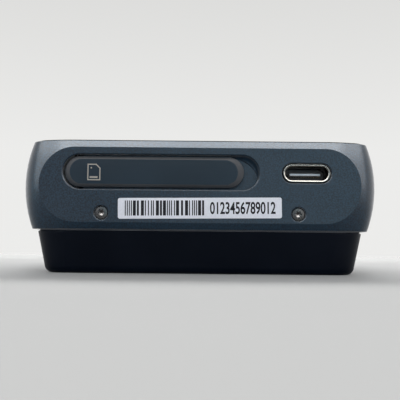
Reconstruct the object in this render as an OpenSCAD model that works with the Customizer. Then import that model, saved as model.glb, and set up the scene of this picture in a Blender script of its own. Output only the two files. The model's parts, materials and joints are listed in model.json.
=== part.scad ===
// Handheld voice recorder: a barrel-sided metal chassis with flat ends, a tapered back cover,
// a glass front, a hinged memory card door, side keys, a hold slider and a level knob.
// Millimetres. X is the width, Y runs from the port end to the jack end, Z points out of the glass.
// The origin is the centre of the back rest face.

/* [Body] */
// Width across the widest level of the bulged sides
body_w = 69.5; // [64:0.5:90]
// Length between the two flat ends
body_l = 119; // [112:0.5:150]
// Thickness from the back rest face to the front glass
body_t = 26; // [25.5:0.5:34]
// Plan radius of the four corners at the widest level
corner_r = 5.3; // [5:0.1:6.5]
// Radius of the wide arc that leads from each end into its corners
bow_r = 22; // [18:1:30]
// Inset of the upper and lower edges from the widest level of the bulge
bulge_in = 1.54; // [1:0.02:2.2]
// Depth of the flat cut at each end, below the widest level
end_cut = 1.1; // [0.9:0.05:1.3]
// Side wall thickness at the widest level
side_wall = 3.5; // [3.2:0.1:4]
// End wall thickness at the flat
end_wall = 3.7; // [3.5:0.1:5]
// Inner corner radius of the chassis
cavity_r = 5; // [3:0.5:6]

/* [Back cover] */
// Height of the tapered back cover below the seam
rear_h = 8.3; // [7:0.1:11]
// Inset of the back cover from the lower edge of the chassis
rear_step = 0.6; // [0.3:0.1:1]
// Plan radius of the corners of the back cover at its top edge
rear_top_r = 6.5; // [5.5:0.25:7.5]
// Inward draft of the back cover wall over its height
rear_draft = 1.75; // [0.8:0.05:2]
// Rounding of the bottom edge of the back cover
rear_round = 1.6; // [0.8:0.1:2.2]
// Rounding along the top edge of the back cover
rear_break = 0.25; // [0.1:0.05:0.4]
// Floor thickness of the back cover
rear_floor = 1.4; // [1.2:0.1:2]
// Wall of the spigot that goes up into the chassis
spigot_wall = 1.25; // [1:0.05:1.6]
// Height of the spigot above the back cover wall
spigot_h = 2.4; // [1.6:0.1:3]
// Thickness of the seam gasket
gasket_t = 0.3; // [0.2:0.05:0.5]
// Depth of the open seam in front of the gasket
seam_depth = 0.4; // [0.3:0.1:0.7]

/* [Front] */
// Height of the glass above the chassis rim
glass_proud = 0.3; // [0:0.05:0.4]
// Thickness of the front glass
glass_t = 1; // [0.8:0.1:1.4]
// Width of the chassis rim around the glass
rim_w = 0.9; // [0.6:0.1:1.4]
// Thickness of the glass bonding tape
tape_t = 0.15; // [0.1:0.05:0.3]
// Width of the display module
display_w = 55; // [40:0.5:55]
// Length of the display module
display_l = 95; // [60:0.5:95]
// Thickness of the display module
display_t = 1.8; // [1.4:0.1:2.4]
// Thickness of the display carrier plate
carrier_t = 0.8; // [0.6:0.1:1]

/* [Port end] */
// Height of the card door and USB port above the middle of the chassis
port_up = 2.5; // [2:0.05:3.2]
// Length of the card door
door_w = 34.7; // [33:0.1:36]
// Height of the card door
door_h = 5.95; // [5.6:0.05:6.2]
// Thickness of the card door
door_t = 1.3; // [1.2:0.05:1.45]
// Middle of the card door across the width
door_x = -8.8; // [-9.2:0.1:-8]
// Gap around the card door
door_gap = 0.4; // [0.35:0.05:0.5]
// Length of the nail scoop beyond the free end of the door
scoop = 2.9; // [2:0.1:3.5]
// Depth of the door recess in the end wall
recess_d = 1.6; // [1.55:0.05:1.8]
// Hinge line, measured in from the hinged end of the door
hinge_in = 2.2; // [2.1:0.05:2.4]
// Hinge line, measured in from the outer face of the door
hinge_deep = 0.9; // [0.85:0.05:1]
// Diameter of the hinge pin
hinge_pin_d = 0.8; // [0.6:0.05:0.9]
// Running clearance of the hinge pin in the door, per side
hinge_gap = 0.05; // [0.03:0.01:0.08]
// Length of the card mouth
mouth_w = 25.2; // [25:0.1:26]
// Height of the card mouth
mouth_h = 3; // [2.8:0.1:3.4]
// Middle of the USB port across the width
usb_x = 20.6; // [19.5:0.1:21]
// Outer width of the USB shell
usb_w = 9.2; // [9:0.05:9.3]
// Outer height of the USB shell
usb_h = 3.5; // [3.4:0.05:3.6]
// Mouth width of the USB shell
usb_mouth_w = 8.34; // [8.3:0.02:8.4]
// Mouth height of the USB shell
usb_mouth_h = 2.6; // [2.56:0.02:2.7]
// Gap around the USB shell
usb_gap = 0.2; // [0.1:0.05:0.3]
// Half spacing of the two end screws
screw_x = 19; // [17.5:0.1:20]
// Depth of the end screws below the middle of the chassis
screw_down = 5.45; // [5:0.05:5.55]
// Diameter of the screw counterbore
screw_bore_d = 2.75; // [2.6:0.05:3]
// Diameter of the screw head
screw_head_d = 2.35; // [2.1:0.05:2.5]
// Diameter of the screw shank
screw_d = 1.6; // [1.4:0.1:1.8]
// Length of the serial label
label_w = 31.5; // [26:0.5:33]
// Height of the serial label
label_h = 4; // [3:0.1:4.4]
// Thickness of the serial label
label_t = 0.08; // [0.05:0.01:0.15]
// Depth of the label below the middle of the chassis
label_down = 4.55; // [4.3:0.05:4.8]

/* [Jack end] */
// Diameter of the level knob
knob_d = 13; // [11:0.5:13.5]
// Height of the knob face above the end of the body
knob_proud = 6; // [5:0.5:8]
// Middle of the knob across the width
knob_x = 15; // [14:0.5:15.5]
// Number of grip grooves round the knob
knob_grooves = 60; // [36:2:72]
// Depth of the grip grooves
groove_d = 0.25; // [0.15:0.05:0.35]
// Diameter of the knob shaft
shaft_d = 3; // [2.5:0.5:3]
// Middle of the phones jack across the width
phones_x = -3; // [-4:0.5:-2]
// Middle of the microphone jack across the width
mic_jack_x = -15; // [-16:0.5:-14]
// Bore of the two jacks
jack_bore_d = 3.6; // [3.55:0.05:3.7]
// Depth of the jack bores
jack_bore_l = 14.5; // [14:0.5:16]
// Diameter of the jack noses
jack_nose_d = 5; // [4.8:0.1:5.2]
// Height of the jack bodies
jack_h = 5.5; // [5.2:0.1:6]
// Half spacing of the two microphones
mic_x = 25; // [24.5:0.1:25.5]
// Diameter of the microphone capsules
capsule_d = 4; // [3.6:0.1:4.2]
// Diameter of one microphone hole
mic_hole_d = 0.8; // [0.6:0.1:0.9]

/* [Side keys] */
// Middle of the record key along the body
record_y = 40; // [36:0.5:42]
// Distance from one key to the next
key_pitch = 11; // [10:0.5:12]
// Length of the three transport keys
key_l = 8; // [7:0.5:8.5]
// Height of the keys
key_h = 3.4; // [3:0.1:4]
// Press of a key
key_travel = 0.4; // [0.2:0.05:0.5]
// Gap around a key
key_gap = 0.25; // [0.2:0.05:0.3]
// Depth of the milled panel that the keys sit in
panel_d = 0.7; // [0.5:0.05:0.9]
// Height of the milled panel
panel_h = 6.4; // [5.5:0.1:7]
// Middle of the hold slider travel along the body
slider_y = 24; // [20:0.5:28]
// Length of the hold slider cap
slider_l = 5.4; // [4.5:0.1:6]
// Travel of the hold slider
slider_travel = 3; // [2:0.25:3.5]

/* [Inside] */
// Width of the two circuit boards
board_w = 54; // [50:0.5:54]
// Thickness of the main board
board_t = 1.2; // [1:0.1:1.6]
// Length of the audio board
audio_l = 38; // [34:0.5:40]
// Thickness of the audio board
audio_t = 1; // [0.8:0.1:1.2]
// Overlap of the two boards, where the link sits
board_overlap = 8; // [6:0.5:10]
// Battery width
battery_w = 50; // [40:0.5:54]
// Battery length
battery_l = 82; // [60:0.5:84]
// Battery thickness
battery_t = 9.4; // [6:0.1:9.6]
// Thickness of the battery pad
pad_t = 0.3; // [0.2:0.1:0.5]

/* [Hidden] */
$fn = 64;

// Finishes used for the colour of each piece
slate = [0.27, 0.30, 0.34];
black = [0.05, 0.05, 0.06];
steel = [0.62, 0.63, 0.65];
green = [0.10, 0.28, 0.20];
gold = [0.80, 0.64, 0.32];

// Outer levels and the arc centres that the outlines share
hx = body_w / 2;
hy = body_l / 2;
bow_a = acos(1 - end_cut / bow_r);
bow_shift = bow_r - corner_r;
cx = hx - corner_r;
bow_x = cx - bow_shift * sin(bow_a);
bow_y = hy + end_cut - bow_r;
cy = bow_y + bow_shift * cos(bow_a);
bow_end = bow_y + bow_shift;
z_low = rear_h + gasket_t;
z_top = body_t - glass_proud;
mid = (z_low + z_top) / 2;
half_h = (z_top - z_low) / 2;
bulge_r = (half_h * half_h + bulge_in * bulge_in) / (2 * bulge_in);
edge_r = corner_r - bulge_in;
fit_gap = 0.1;
thread_gap = 0.03;

// Front stack
pocket_r = edge_r - rim_w;
glass_r = pocket_r - fit_gap;
glass_z = body_t - glass_t;
seat_z = glass_z - tape_t;
ledge_z = glass_z - display_t;
carrier_z = ledge_z - carrier_t;
window_gap = 0.5;
tape_inset = 0.4;
tape_r = glass_r - tape_inset;

// Inside of the chassis
cav_x = hx - side_wall;
cav_y = hy - end_wall;
board_gap = 0.4;

// Back cover
rear_in = bulge_in + rear_step + rear_top_r;
rear_ax = hx - rear_in;
rear_ay = hy + end_cut - rear_in;
rear_low_r = rear_top_r - rear_draft;
gasket_r = rear_top_r - seam_depth;
spigot_gap = 0.15;
spig_x = cav_x - spigot_gap;
spig_y = cav_y - spigot_gap;
spig_r = cavity_r - spigot_gap;
ear_w = 6;
ear_t = 3.2;
ear_top = 2.2;
hook_w = 10;
hook_t = 1;
hook_reach = 0.8;
hook_x = 8;
hook_up = 0.9;
hook_gap = 0.15;

// Port end
port_z = mid + port_up;
door_sink = 0.05;
door_edge = 0.4;
door_bevel = 0.5;
door_hinge_bevel = 0.9;
door_free_bevel = 1.3;
recess_break = 0.18;
recess_w = door_w + door_gap + scoop;
recess_h = door_h + 2 * door_gap;
recess_x = door_x + (scoop - door_gap) / 2;
hinge_x = door_x - door_w / 2 + hinge_in;
hinge_y = -hy + door_sink + hinge_deep;
barrel_r = hinge_deep - 0.05;
barrel_l = door_h - 1.15;
pin_cover = 0.3;
pin_hold = min(1.3, seat_z - pin_cover - port_z - recess_h / 2);
swing_r = sqrt(hinge_in * hinge_in + (hinge_deep - door_edge) * (hinge_deep - door_edge));
pocket_gap = 0.12;
pocket_w = door_gap + hinge_in + barrel_r + 0.35;
pocket_d = door_sink + hinge_deep + swing_r + pocket_gap;
card_x = door_x + 0.3;
rib_gap = 0.5;
rib_d = 0.85;
screw_z = mid - screw_down;
screw_seat = 1.5;
screw_head_h = 1.15;
screw_l = 4.6;
head_dome = 0.12;
head_dome_r = (screw_head_d * screw_head_d / 4 + head_dome * head_dome) / (2 * head_dome);
socket_r = 0.5;
lobe_r = 0.2;
socket_d = 0.5;
socket_point = 0.2;
label_z = mid - label_down;
label_r = 0.4;

// USB port
usb_sink = 0.12;
usb_l = 7.4;
usb_back = 1.2;
tongue_w = 6.3;
tongue_t = 0.7;
tongue_sink = 2.6;
lip_w = 0.3;
lip_d = 0.14;

// Boards
board_z = port_z - usb_h / 2;
audio_z = mid - jack_h / 2;
board_y0 = -cav_y + board_gap;
audio_y1 = cav_y - board_gap;
audio_y0 = audio_y1 - audio_l;
board_y1 = audio_y0 + board_overlap;
post_r = 1.9;
post_x = 23.5;
small_screw_d = 1.5;
small_head_d = 2.6;
small_head_h = 0.8;
hole_gap = 0.2;

// Card socket
card_w = 24.3;
card_h = 2.2;
socket_w = 27.2;
socket_l = 27;
socket_sheet = 0.25;
socket_y = -cav_y + 0.3;
contact_pitch = 2.5;
contact_w = 1;
contact_l = 7.5;
contact_t = 0.2;
contact_stop = 2;

// Screw posts of the boards, beside the card socket and the USB port and along the board edges
post_clear = 0.7;
front_post = 5.7;
rear_post = 7.7;
mid_post = 12.3;
end_post = 9.7;
socket_side = card_x - socket_w / 2;
board_posts = [
  [socket_side - post_r - post_clear, board_y0 + front_post],
  [(socket_side + socket_w + usb_x - usb_w / 2) / 2, board_y0 + front_post],
  [-post_x, audio_y0 - rear_post], [post_x, audio_y0 - rear_post]
];
audio_posts = [
  [-post_x, audio_y0 + mid_post], [post_x, audio_y0 + mid_post],
  [-post_x, audio_y1 - end_post], [post_x, audio_y1 - end_post]
];

// Screws that hold the carrier plate under the chassis ledge
ledge_side = 2.2;
ledge_corner = 3.5;
ledge_end = 3.7;
ledge_screws = [
  [-cav_x + ledge_side, -display_l / 2 + ledge_corner], [cav_x - ledge_side, -display_l / 2 + ledge_corner],
  [-cav_x + ledge_side, display_l / 2 - ledge_corner], [cav_x - ledge_side, display_l / 2 - ledge_corner],
  [0, -cav_y + ledge_end], [0, cav_y - ledge_end]
];

// Parts on the boards, and the battery
link_w = 22;
link_l = 4.4;
shield_w = 30;
shield_l = 24;
shield_h = 2;
shield_sheet = 0.3;
shield_x = 1;
shield_back = 22;
chip_w = 12;
chip_l = 9;
chip_h = 1;
chip_pitch = 18;
chips_x = -1;
chips_back = 1.5;
battery_y = -4;
battery_r = 1.5;
pad_inset = 4;

// Jack end
nose_sink = 0.1;
ring_seat = 0.6;
ring_t = 0.9;
ring_r = 3.75;
ring_gap = 0.05;
jack_w = 7;
jack_l = 12.4;
encoder_w = 10;
encoder_l = 5.2;
bush_r = 3;
bush_out = 1.8;
nut_t = 1.3;
nut_r = 4.2;
shaft_gap = 0.05;
knob_base = 0.5;
knob_hollow_r = 4.9;
knob_hollow_d = 2.2;
knob_skin = 0.9;
light_r = 7.4;
light_in = 6.3;
light_d = 0.8;
boot_wall = 0.6;
boot_l = 2.6;
boot_floor = 0.5;
boot_seat = 0.6;
mesh_t = 0.1;
mic_ring = 1.3;

// Side keys, as depths below the widest level of the side
key_sink = 0.1;
flange_t = 0.7;
flange_gap = 0.2;
flange_d = side_wall + flange_gap;
nub_l = 1;
nub_r = 0.6;
switch_face = flange_d + flange_t + key_travel + 0.15;
switch_t = 1.3;
switch_hole = 1;
key_board_d = switch_face + switch_t;
key_board_t = 0.8;
bracket_d = key_board_d + key_board_t;
bracket_t = 0.6;
bracket_arm = 1.65;
key_board_h = 8;
key_ys = [record_y, record_y - key_pitch, record_y - 2 * key_pitch, record_y - 3 * key_pitch];
keys_mid = (key_ys[0] + key_ys[3]) / 2;
keys_span = key_ys[0] - key_ys[3];
record_l = key_h + 1.2;
slider_h = 2.6;
slider_rest = slider_y - slider_travel / 2;

// Flat outlines
module stadium(l, h) {
  if (l > h) {
    square([l - h, h], center = true);
    translate([(l - h) / 2, 0]) circle(d = h);
    translate([(h - l) / 2, 0]) circle(d = h);
  } else {
    circle(d = h);
  }
}

module outline(w, l, r) {
  square([w - 2 * r, l], center = true);
  square([w, l - 2 * r], center = true);
  for (sx = [-1, 1], sy = [-1, 1]) translate([sx * (w / 2 - r), sy * (l / 2 - r)]) circle(r);
}

// A profile of radius and height carried round a rectangle of corner axes, with the middle filled
module rounded_block(ax, ay, za, zb) {
  for (k = [0:3])
    rotate(90 * k) translate([k % 2 == 0 ? ax : ay, k % 2 == 0 ? ay : ax, 0])
      rotate_extrude(angle = 90) children();
  for (k = [0, 2]) {
    rotate(90 * k) translate([ax, 0, 0]) rotate([90, 0, 0]) linear_extrude(2 * ay, center = true)
      children();
    rotate(90 * k + 90) translate([ay, 0, 0]) rotate([90, 0, 0]) linear_extrude(2 * ax, center = true)
      children();
  }
  translate([-ax, -ay, za]) cube([2 * ax, 2 * ay, zb - za]);
}

// The four quarters of the body
module quarters() for (mx = [0, 1], my = [0, 1]) mirror([mx, 0, 0]) mirror([0, my, 0]) children();

// The body outline at a corner radius: straight sides, and ends that bend in two arcs into the corners
module bow_sector(r) translate([bow_x, bow_y]) intersection() {
  circle(bow_shift + r);
  polygon([[0, 0], 3 * bow_r * [sin(bow_a), cos(bow_a)], [0, 3 * bow_r]]);
}

module body_outline(r) {
  quarters() {
    translate([cx, cy]) circle(r);
    bow_sector(r);
  }
  square([2 * (cx + r), 2 * cy], center = true);
  square([2 * bow_x, 2 * (bow_end + r)], center = true);
}

// The same round the body outline
module swept(za, zb) {
  quarters() {
    translate([cx, cy, 0]) rotate_extrude(angle = 90 - bow_a) children();
    translate([bow_x, bow_y, 0]) rotate(90 - bow_a) rotate_extrude(angle = bow_a)
      translate([bow_shift, 0]) children();
  }
  for (k = [0, 2]) {
    rotate(90 * k) translate([cx, 0, 0]) rotate([90, 0, 0]) linear_extrude(2 * cy, center = true)
      children();
    rotate(90 * k + 90) translate([bow_end, 0, 0]) rotate([90, 0, 0])
      linear_extrude(2 * bow_x, center = true) children();
  }
  translate([0, 0, za]) linear_extrude(zb - za) {
    quarters() bow_sector(0);
    square([2 * cx, 2 * cy], center = true);
    square([2 * bow_x, 2 * bow_end], center = true);
  }
}

// A stadium that narrows by an inset over its height
module stadium_taper(l, h, t, inset) {
  if (l > h) {
    for (s = [0, 1])
      rotate(180 * s) translate([(l - h) / 2, 0, 0]) rotate(-90) rotate_extrude(angle = 180)
        polygon([[0, 0], [h / 2, 0], [h / 2 - inset, t], [0, t]]);
    rotate([90, 0, 90]) linear_extrude(l - h, center = true)
      polygon([[-h / 2, 0], [h / 2, 0], [h / 2 - inset, t], [-h / 2 + inset, t]]);
  } else {
    cylinder(r1 = h / 2, r2 = h / 2 - inset, h = t);
  }
}

// Places with the local Z pointing into the body from each outer face
module port_end(x, z) translate([x, -hy, z]) rotate([-90, 0, 0]) children();
module jack_end(x, z) translate([x, hy, z]) rotate([90, 0, 0]) children();
module right_side(y) translate([hx, y, mid]) rotate([90, 0, -90]) children();
module left_side(y) translate([-hx, y, mid]) rotate([90, 0, 90]) children();

// Chassis: bulged outline, flat ends, and every opening cut in it
module bulge_profile() intersection() {
  translate([0, z_low]) square([corner_r + 1, z_top - z_low]);
  translate([corner_r - bulge_r, mid]) circle(bulge_r);
}

module chassis_block() intersection() {
  swept(z_low, z_top) bulge_profile();
  translate([-body_w, -hy, 0]) cube([2 * body_w, body_l, 2 * body_t]);
}

module door_bay() {
  port_end(recess_x, port_z) {
    translate([0, 0, -1]) linear_extrude(recess_d + 1) stadium(recess_w, recess_h);
    translate([0, 0, -recess_break])
      stadium_taper(recess_w + 4 * recess_break, recess_h + 4 * recess_break,
        2 * recess_break, 2 * recess_break);
  }
  port_end(card_x, port_z) translate([-mouth_w / 2, -mouth_h / 2, 0])
    cube([mouth_w, mouth_h, end_wall + 1]);
  port_end(recess_x, port_z) linear_extrude(pocket_d) intersection() {
    stadium(recess_w, recess_h);
    translate([-recess_w / 2, -recess_h / 2]) square([pocket_w, recess_h]);
  }
  translate([hinge_x, hinge_y, port_z])
    cylinder(d = hinge_pin_d + 2 * thread_gap, h = recess_h + 2 * pin_hold + 0.1, center = true);
}

module usb_bay() port_end(usb_x, port_z) {
  translate([0, 0, -1]) linear_extrude(end_wall + 2) stadium(usb_w + 2 * usb_gap, usb_h + 2 * usb_gap);
  translate([0, 0, -0.12]) stadium_taper(usb_w + 2 * usb_gap + 0.48, usb_h + 2 * usb_gap + 0.48, 0.24, 0.24);
}

module screw_bays() for (s = [-1, 1]) port_end(s * screw_x, screw_z) {
  translate([0, 0, -1]) cylinder(d = screw_bore_d, h = screw_seat + 1);
  translate([0, 0, -0.12]) cylinder(d1 = screw_bore_d + 0.48, d2 = screw_bore_d, h = 0.24);
  cylinder(d = screw_d + 2 * hole_gap, h = end_wall + 1);
}

module jack_bays() {
  for (x = [phones_x, mic_jack_x]) jack_end(x, mid) {
    translate([0, 0, -1]) cylinder(r = ring_r + ring_gap, h = ring_seat + 1);
    cylinder(d = jack_nose_d + 2 * fit_gap, h = end_wall + 1);
  }
  jack_end(knob_x, mid) {
    translate([0, 0, -1]) cylinder(r = bush_r + thread_gap, h = end_wall + 2);
    translate([0, 0, -1]) difference() {
      cylinder(r = light_r, h = light_d + 1);
      translate([0, 0, -1]) cylinder(r = light_in, h = light_d + 3);
    }
  }
  for (s = [-1, 1]) jack_end(s * mic_x, mid) {
    translate([0, 0, -1]) cylinder(d = mic_hole_d, h = end_wall + 2);
    for (k = [0:5]) rotate(60 * k) translate([mic_ring, 0, -1])
      cylinder(d = mic_hole_d, h = end_wall + 2);
    translate([0, 0, end_wall - boot_seat])
      cylinder(r = capsule_d / 2 + boot_wall + fit_gap, h = boot_seat + 1);
  }
}

module key_bays() {
  right_side(keys_mid) translate([0, 0, -1]) linear_extrude(panel_d + 1)
    stadium(keys_span + key_l + panel_h - key_h + 2, panel_h);
  for (k = [0:3]) right_side(key_ys[k]) linear_extrude(side_wall + 1)
    stadium((k == 0 ? record_l : key_l) + 2 * key_gap, (k == 0 ? record_l : key_h) + 2 * key_gap);
  left_side(slider_y) {
    translate([0, 0, -1]) linear_extrude(panel_d + 1)
      stadium(slider_l + slider_travel + 4.4, panel_h - 1);
    linear_extrude(side_wall + 1)
      stadium(slider_l + slider_travel + 2 * key_gap, slider_h + 2 * key_gap);
  }
}

module chassis() color(slate) difference() {
  chassis_block();
  translate([0, 0, z_low - 1]) linear_extrude(ledge_z - z_low + 1)
    outline(2 * cav_x, 2 * cav_y, cavity_r);
  translate([0, 0, seat_z]) linear_extrude(5)
    body_outline(pocket_r);
  translate([0, 0, ledge_z])
    cube([display_w + 2 * window_gap, display_l + 2 * window_gap, 10], center = true);
  door_bay();
  usb_bay();
  screw_bays();
  jack_bays();
  key_bays();
  for (p = ledge_screws) translate([p[0], p[1], ledge_z - 1])
    cylinder(d = small_screw_d + 2 * thread_gap, h = 2.2);
  for (s = [-1, 1]) translate([s * hook_x - hook_w / 2 - hook_gap, cav_y - 1, z_low + hook_up - hook_gap])
    cube([hook_w + 2 * hook_gap, hook_reach + hook_gap + 1 - spigot_gap, hook_t + 2 * hook_gap]);
}

// Back cover: drafted tub with a rounded floor edge, a spigot, two screw ears and two hooks
rear_run = sqrt(rear_draft * rear_draft + rear_h * rear_h);
rear_nx = rear_h / rear_run;
rear_ny = -rear_draft / rear_run;
rear_cx = rear_low_r - rear_round * (1 + rear_ny) / rear_nx;
rear_ex = rear_top_r - rear_break * rear_draft / rear_h - rear_break / rear_nx;
rear_ez = rear_h - rear_break;

module rear_profile() {
  polygon([
    [0, 0], [rear_cx, 0], [rear_cx + rear_round * rear_nx, rear_round + rear_round * rear_ny],
    [rear_ex + rear_break * rear_nx, rear_ez + rear_break * rear_ny], [rear_ex, rear_h], [0, rear_h]
  ]);
  translate([rear_cx, rear_round]) circle(rear_round);
  translate([rear_ex, rear_ez]) circle(rear_break);
}

module rear_cover() color(black) difference() {
  union() {
    rounded_block(rear_ax, rear_ay, 0, rear_h) rear_profile();
    translate([0, 0, rear_floor]) linear_extrude(rear_h + spigot_h - rear_floor)
      outline(2 * spig_x, 2 * spig_y, spig_r);
    for (s = [-1, 1]) translate([s * screw_x - ear_w / 2, -spig_y, rear_floor])
      cube([ear_w, ear_t, screw_z + ear_top - rear_floor]);
    for (s = [-1, 1]) translate([s * hook_x - hook_w / 2, spig_y - 1, z_low + hook_up])
      cube([hook_w, 1 + hook_reach, hook_t]);
  }
  difference() {
    translate([0, 0, rear_floor]) linear_extrude(body_t)
      outline(2 * (spig_x - spigot_wall), 2 * (spig_y - spigot_wall), spig_r - spigot_wall);
    for (s = [-1, 1]) translate([s * screw_x - ear_w / 2, -spig_y, 0]) cube([ear_w, ear_t, body_t]);
  }
  for (s = [-1, 1]) translate([s * screw_x, -spig_y - 1, screw_z]) rotate([-90, 0, 0])
    cylinder(d = screw_d + 2 * thread_gap, h = ear_t + 2);
}

module rear_gasket() color(black) translate([0, 0, rear_h]) difference() {
  linear_extrude(gasket_t) outline(2 * (rear_ax + gasket_r), 2 * (rear_ay + gasket_r), gasket_r);
  translate([0, 0, -1]) linear_extrude(gasket_t + 2)
    outline(2 * cav_x + 2 * fit_gap, 2 * cav_y + 2 * fit_gap, cavity_r);
}

// Half section of the screw head, domed on top
module head_profile() intersection() {
  square([screw_head_d / 2, screw_head_h]);
  translate([0, screw_head_h - head_dome_r]) circle(head_dome_r);
}

module end_screws() color(steel) for (s = [-1, 1]) port_end(s * screw_x, screw_z) difference() {
  union() {
    translate([0, 0, screw_seat]) mirror([0, 0, 1]) rotate_extrude() head_profile();
    translate([0, 0, screw_seat - 0.1]) cylinder(d = screw_d, h = screw_l);
  }
  translate([0, 0, screw_seat - screw_head_h - 1]) linear_extrude(socket_d + 1) {
    circle(socket_r);
    for (k = [0:5]) rotate(60 * k) translate([socket_r, 0]) circle(lobe_r);
  }
  translate([0, 0, screw_seat - screw_head_h + socket_d])
    cylinder(r1 = socket_r, r2 = 0, h = socket_point);
}

// Front stack
module front_glass() color([0.02, 0.02, 0.03]) translate([0, 0, glass_z])
  linear_extrude(glass_t) body_outline(glass_r);

module glass_tape() color(black) translate([0, 0, seat_z]) difference() {
  linear_extrude(tape_t) body_outline(tape_r);
  cube([display_w + 4 * window_gap, display_l + 4 * window_gap, 4], center = true);
}

module display_panel() color([0.08, 0.09, 0.12]) translate([-display_w / 2, -display_l / 2, ledge_z])
  cube([display_w, display_l, display_t]);

module display_carrier() color(steel) difference() {
  union() {
    translate([0, 0, carrier_z]) linear_extrude(carrier_t)
      outline(2 * (cav_x - board_gap), 2 * (cav_y - board_gap), cavity_r - board_gap);
    for (p = board_posts) translate([p[0], p[1], board_z])
      cylinder(r = post_r, h = carrier_z - board_z + 0.1);
    for (p = audio_posts) translate([p[0], p[1], audio_z])
      cylinder(r = post_r, h = carrier_z - audio_z + 0.1);
  }
  for (p = board_posts) translate([p[0], p[1], board_z - 1])
    cylinder(d = small_screw_d + 2 * thread_gap, h = 4);
  for (p = audio_posts) translate([p[0], p[1], audio_z - 1])
    cylinder(d = small_screw_d + 2 * thread_gap, h = 4);
  for (p = ledge_screws) translate([p[0], p[1], carrier_z - 1])
    cylinder(d = small_screw_d + 2 * hole_gap, h = carrier_t + 2);
}

module small_screw(stack) {
  translate([0, 0, -small_head_h]) cylinder(d = small_head_d, h = small_head_h);
  translate([0, 0, -0.1]) cylinder(d = small_screw_d, h = stack + 0.1);
}

module carrier_screws() color(steel) for (p = ledge_screws) translate([p[0], p[1], carrier_z])
  small_screw(carrier_t + 1);

module board_screws() color(steel) {
  for (p = board_posts) translate([p[0], p[1], board_z - board_t]) small_screw(board_t + 2.6);
  for (p = audio_posts) translate([p[0], p[1], audio_z - audio_t]) small_screw(audio_t + 2.6);
}

// Boards and what sits on them
module main_board() color(green) translate([0, 0, board_z - board_t]) difference() {
  translate([-board_w / 2, board_y0, 0]) cube([board_w, board_y1 - board_y0, board_t]);
  for (p = board_posts) translate([p[0], p[1], -1])
    cylinder(d = small_screw_d + 2 * hole_gap, h = board_t + 2);
}

module audio_board() color(green) translate([0, 0, audio_z - audio_t]) difference() {
  translate([-board_w / 2, audio_y0, 0]) cube([board_w, audio_l, audio_t]);
  translate([knob_x - encoder_w / 2 - 0.5, cav_y - encoder_l - 0.5, -1])
    cube([encoder_w + 1, encoder_l + 1, audio_t + 2]);
  for (p = audio_posts) translate([p[0], p[1], -1])
    cylinder(d = small_screw_d + 2 * hole_gap, h = audio_t + 2);
}

module board_link() color(black)
  translate([-link_w / 2, audio_y0 + (board_overlap - link_l) / 2, audio_z])
  cube([link_w, link_l, board_z - board_t - audio_z]);

module processor_shield() color(steel) translate([shield_x, audio_y0 - shield_back, board_z])
  difference() {
  translate([-shield_w / 2, -shield_l / 2, 0]) cube([shield_w, shield_l, shield_h]);
  translate([shield_sheet - shield_w / 2, shield_sheet - shield_l / 2, -1])
    cube([shield_w - 2 * shield_sheet, shield_l - 2 * shield_sheet, shield_h - shield_sheet + 1]);
}

module memory_chips() color(black) for (s = [-0.5, 0.5])
  translate([chips_x + s * chip_pitch - chip_w / 2, audio_y0 - chips_back - chip_l / 2, board_z])
    cube([chip_w, chip_l, chip_h]);

module battery_pad() color([0.75, 0.75, 0.72])
  translate([pad_inset - battery_w / 2, battery_y + pad_inset - battery_l / 2, rear_floor])
  cube([battery_w - 2 * pad_inset, battery_l - 2 * pad_inset, pad_t]);

module battery_pack() color([0.55, 0.57, 0.60]) translate([0, battery_y, rear_floor + pad_t])
  linear_extrude(battery_t) outline(battery_w, battery_l, battery_r);

// Card socket, standing on the main board behind the card mouth
module card_socket_base() color(black) translate([card_x, socket_y, board_z]) difference() {
  translate([-socket_w / 2 + socket_sheet, 0, 0])
    cube([socket_w - 2 * socket_sheet, socket_l, port_z + card_h / 2 - board_z]);
  translate([-card_w / 2, -1, port_z - card_h / 2 - board_z]) cube([card_w, socket_l - 1, card_h + 1]);
}

module card_socket_cover() color(steel) translate([card_x, socket_y, board_z]) difference() {
  translate([-socket_w / 2, 0, 0.1])
    cube([socket_w, socket_l, port_z + card_h / 2 + socket_sheet - board_z - 0.1]);
  translate([-socket_w / 2 + socket_sheet, -1, -1])
    cube([socket_w - 2 * socket_sheet, socket_l + 2, port_z + card_h / 2 - board_z + 1]);
}

module card_contacts() color(gold) for (k = [-4:4])
  translate([
    card_x + contact_pitch * k - contact_w / 2,
    socket_y + socket_l - contact_stop - contact_l,
    port_z - card_h / 2
  ]) cube([contact_w, contact_l, contact_t]);

// Card door: bevelled stadium plate, plug rib and hinge barrel
module door_plate() {
  translate([0, 0, door_sink + door_edge]) linear_extrude(door_t - door_edge) stadium(door_w, door_h);
  hull() {
    translate([0, 0, door_sink + door_edge - 0.01]) linear_extrude(0.01) stadium(door_w, door_h);
    translate([(door_hinge_bevel - door_free_bevel) / 2, 0, door_sink]) linear_extrude(0.01)
      stadium(door_w - door_hinge_bevel - door_free_bevel, door_h - 2 * door_bevel);
  }
}

module card_door() color([0.16, 0.17, 0.19]) difference() {
  union() {
    port_end(door_x, port_z) door_plate();
    port_end(card_x, port_z)
      translate([-mouth_w / 2 + rib_gap, -mouth_h / 2 + rib_gap, door_sink + door_t - 0.1])
      cube([mouth_w - 2 * rib_gap, mouth_h - 2 * rib_gap, rib_d + 0.1]);
    translate([hinge_x, hinge_y, port_z]) cylinder(r = barrel_r, h = barrel_l, center = true);
  }
  translate([hinge_x, hinge_y, port_z])
    cylinder(d = hinge_pin_d + 2 * hinge_gap, h = 2 * door_h, center = true);
}

module card_door_pin() color(steel) translate([hinge_x, hinge_y, port_z])
  cylinder(d = hinge_pin_d, h = recess_h + 2 * pin_hold, center = true);

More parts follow.
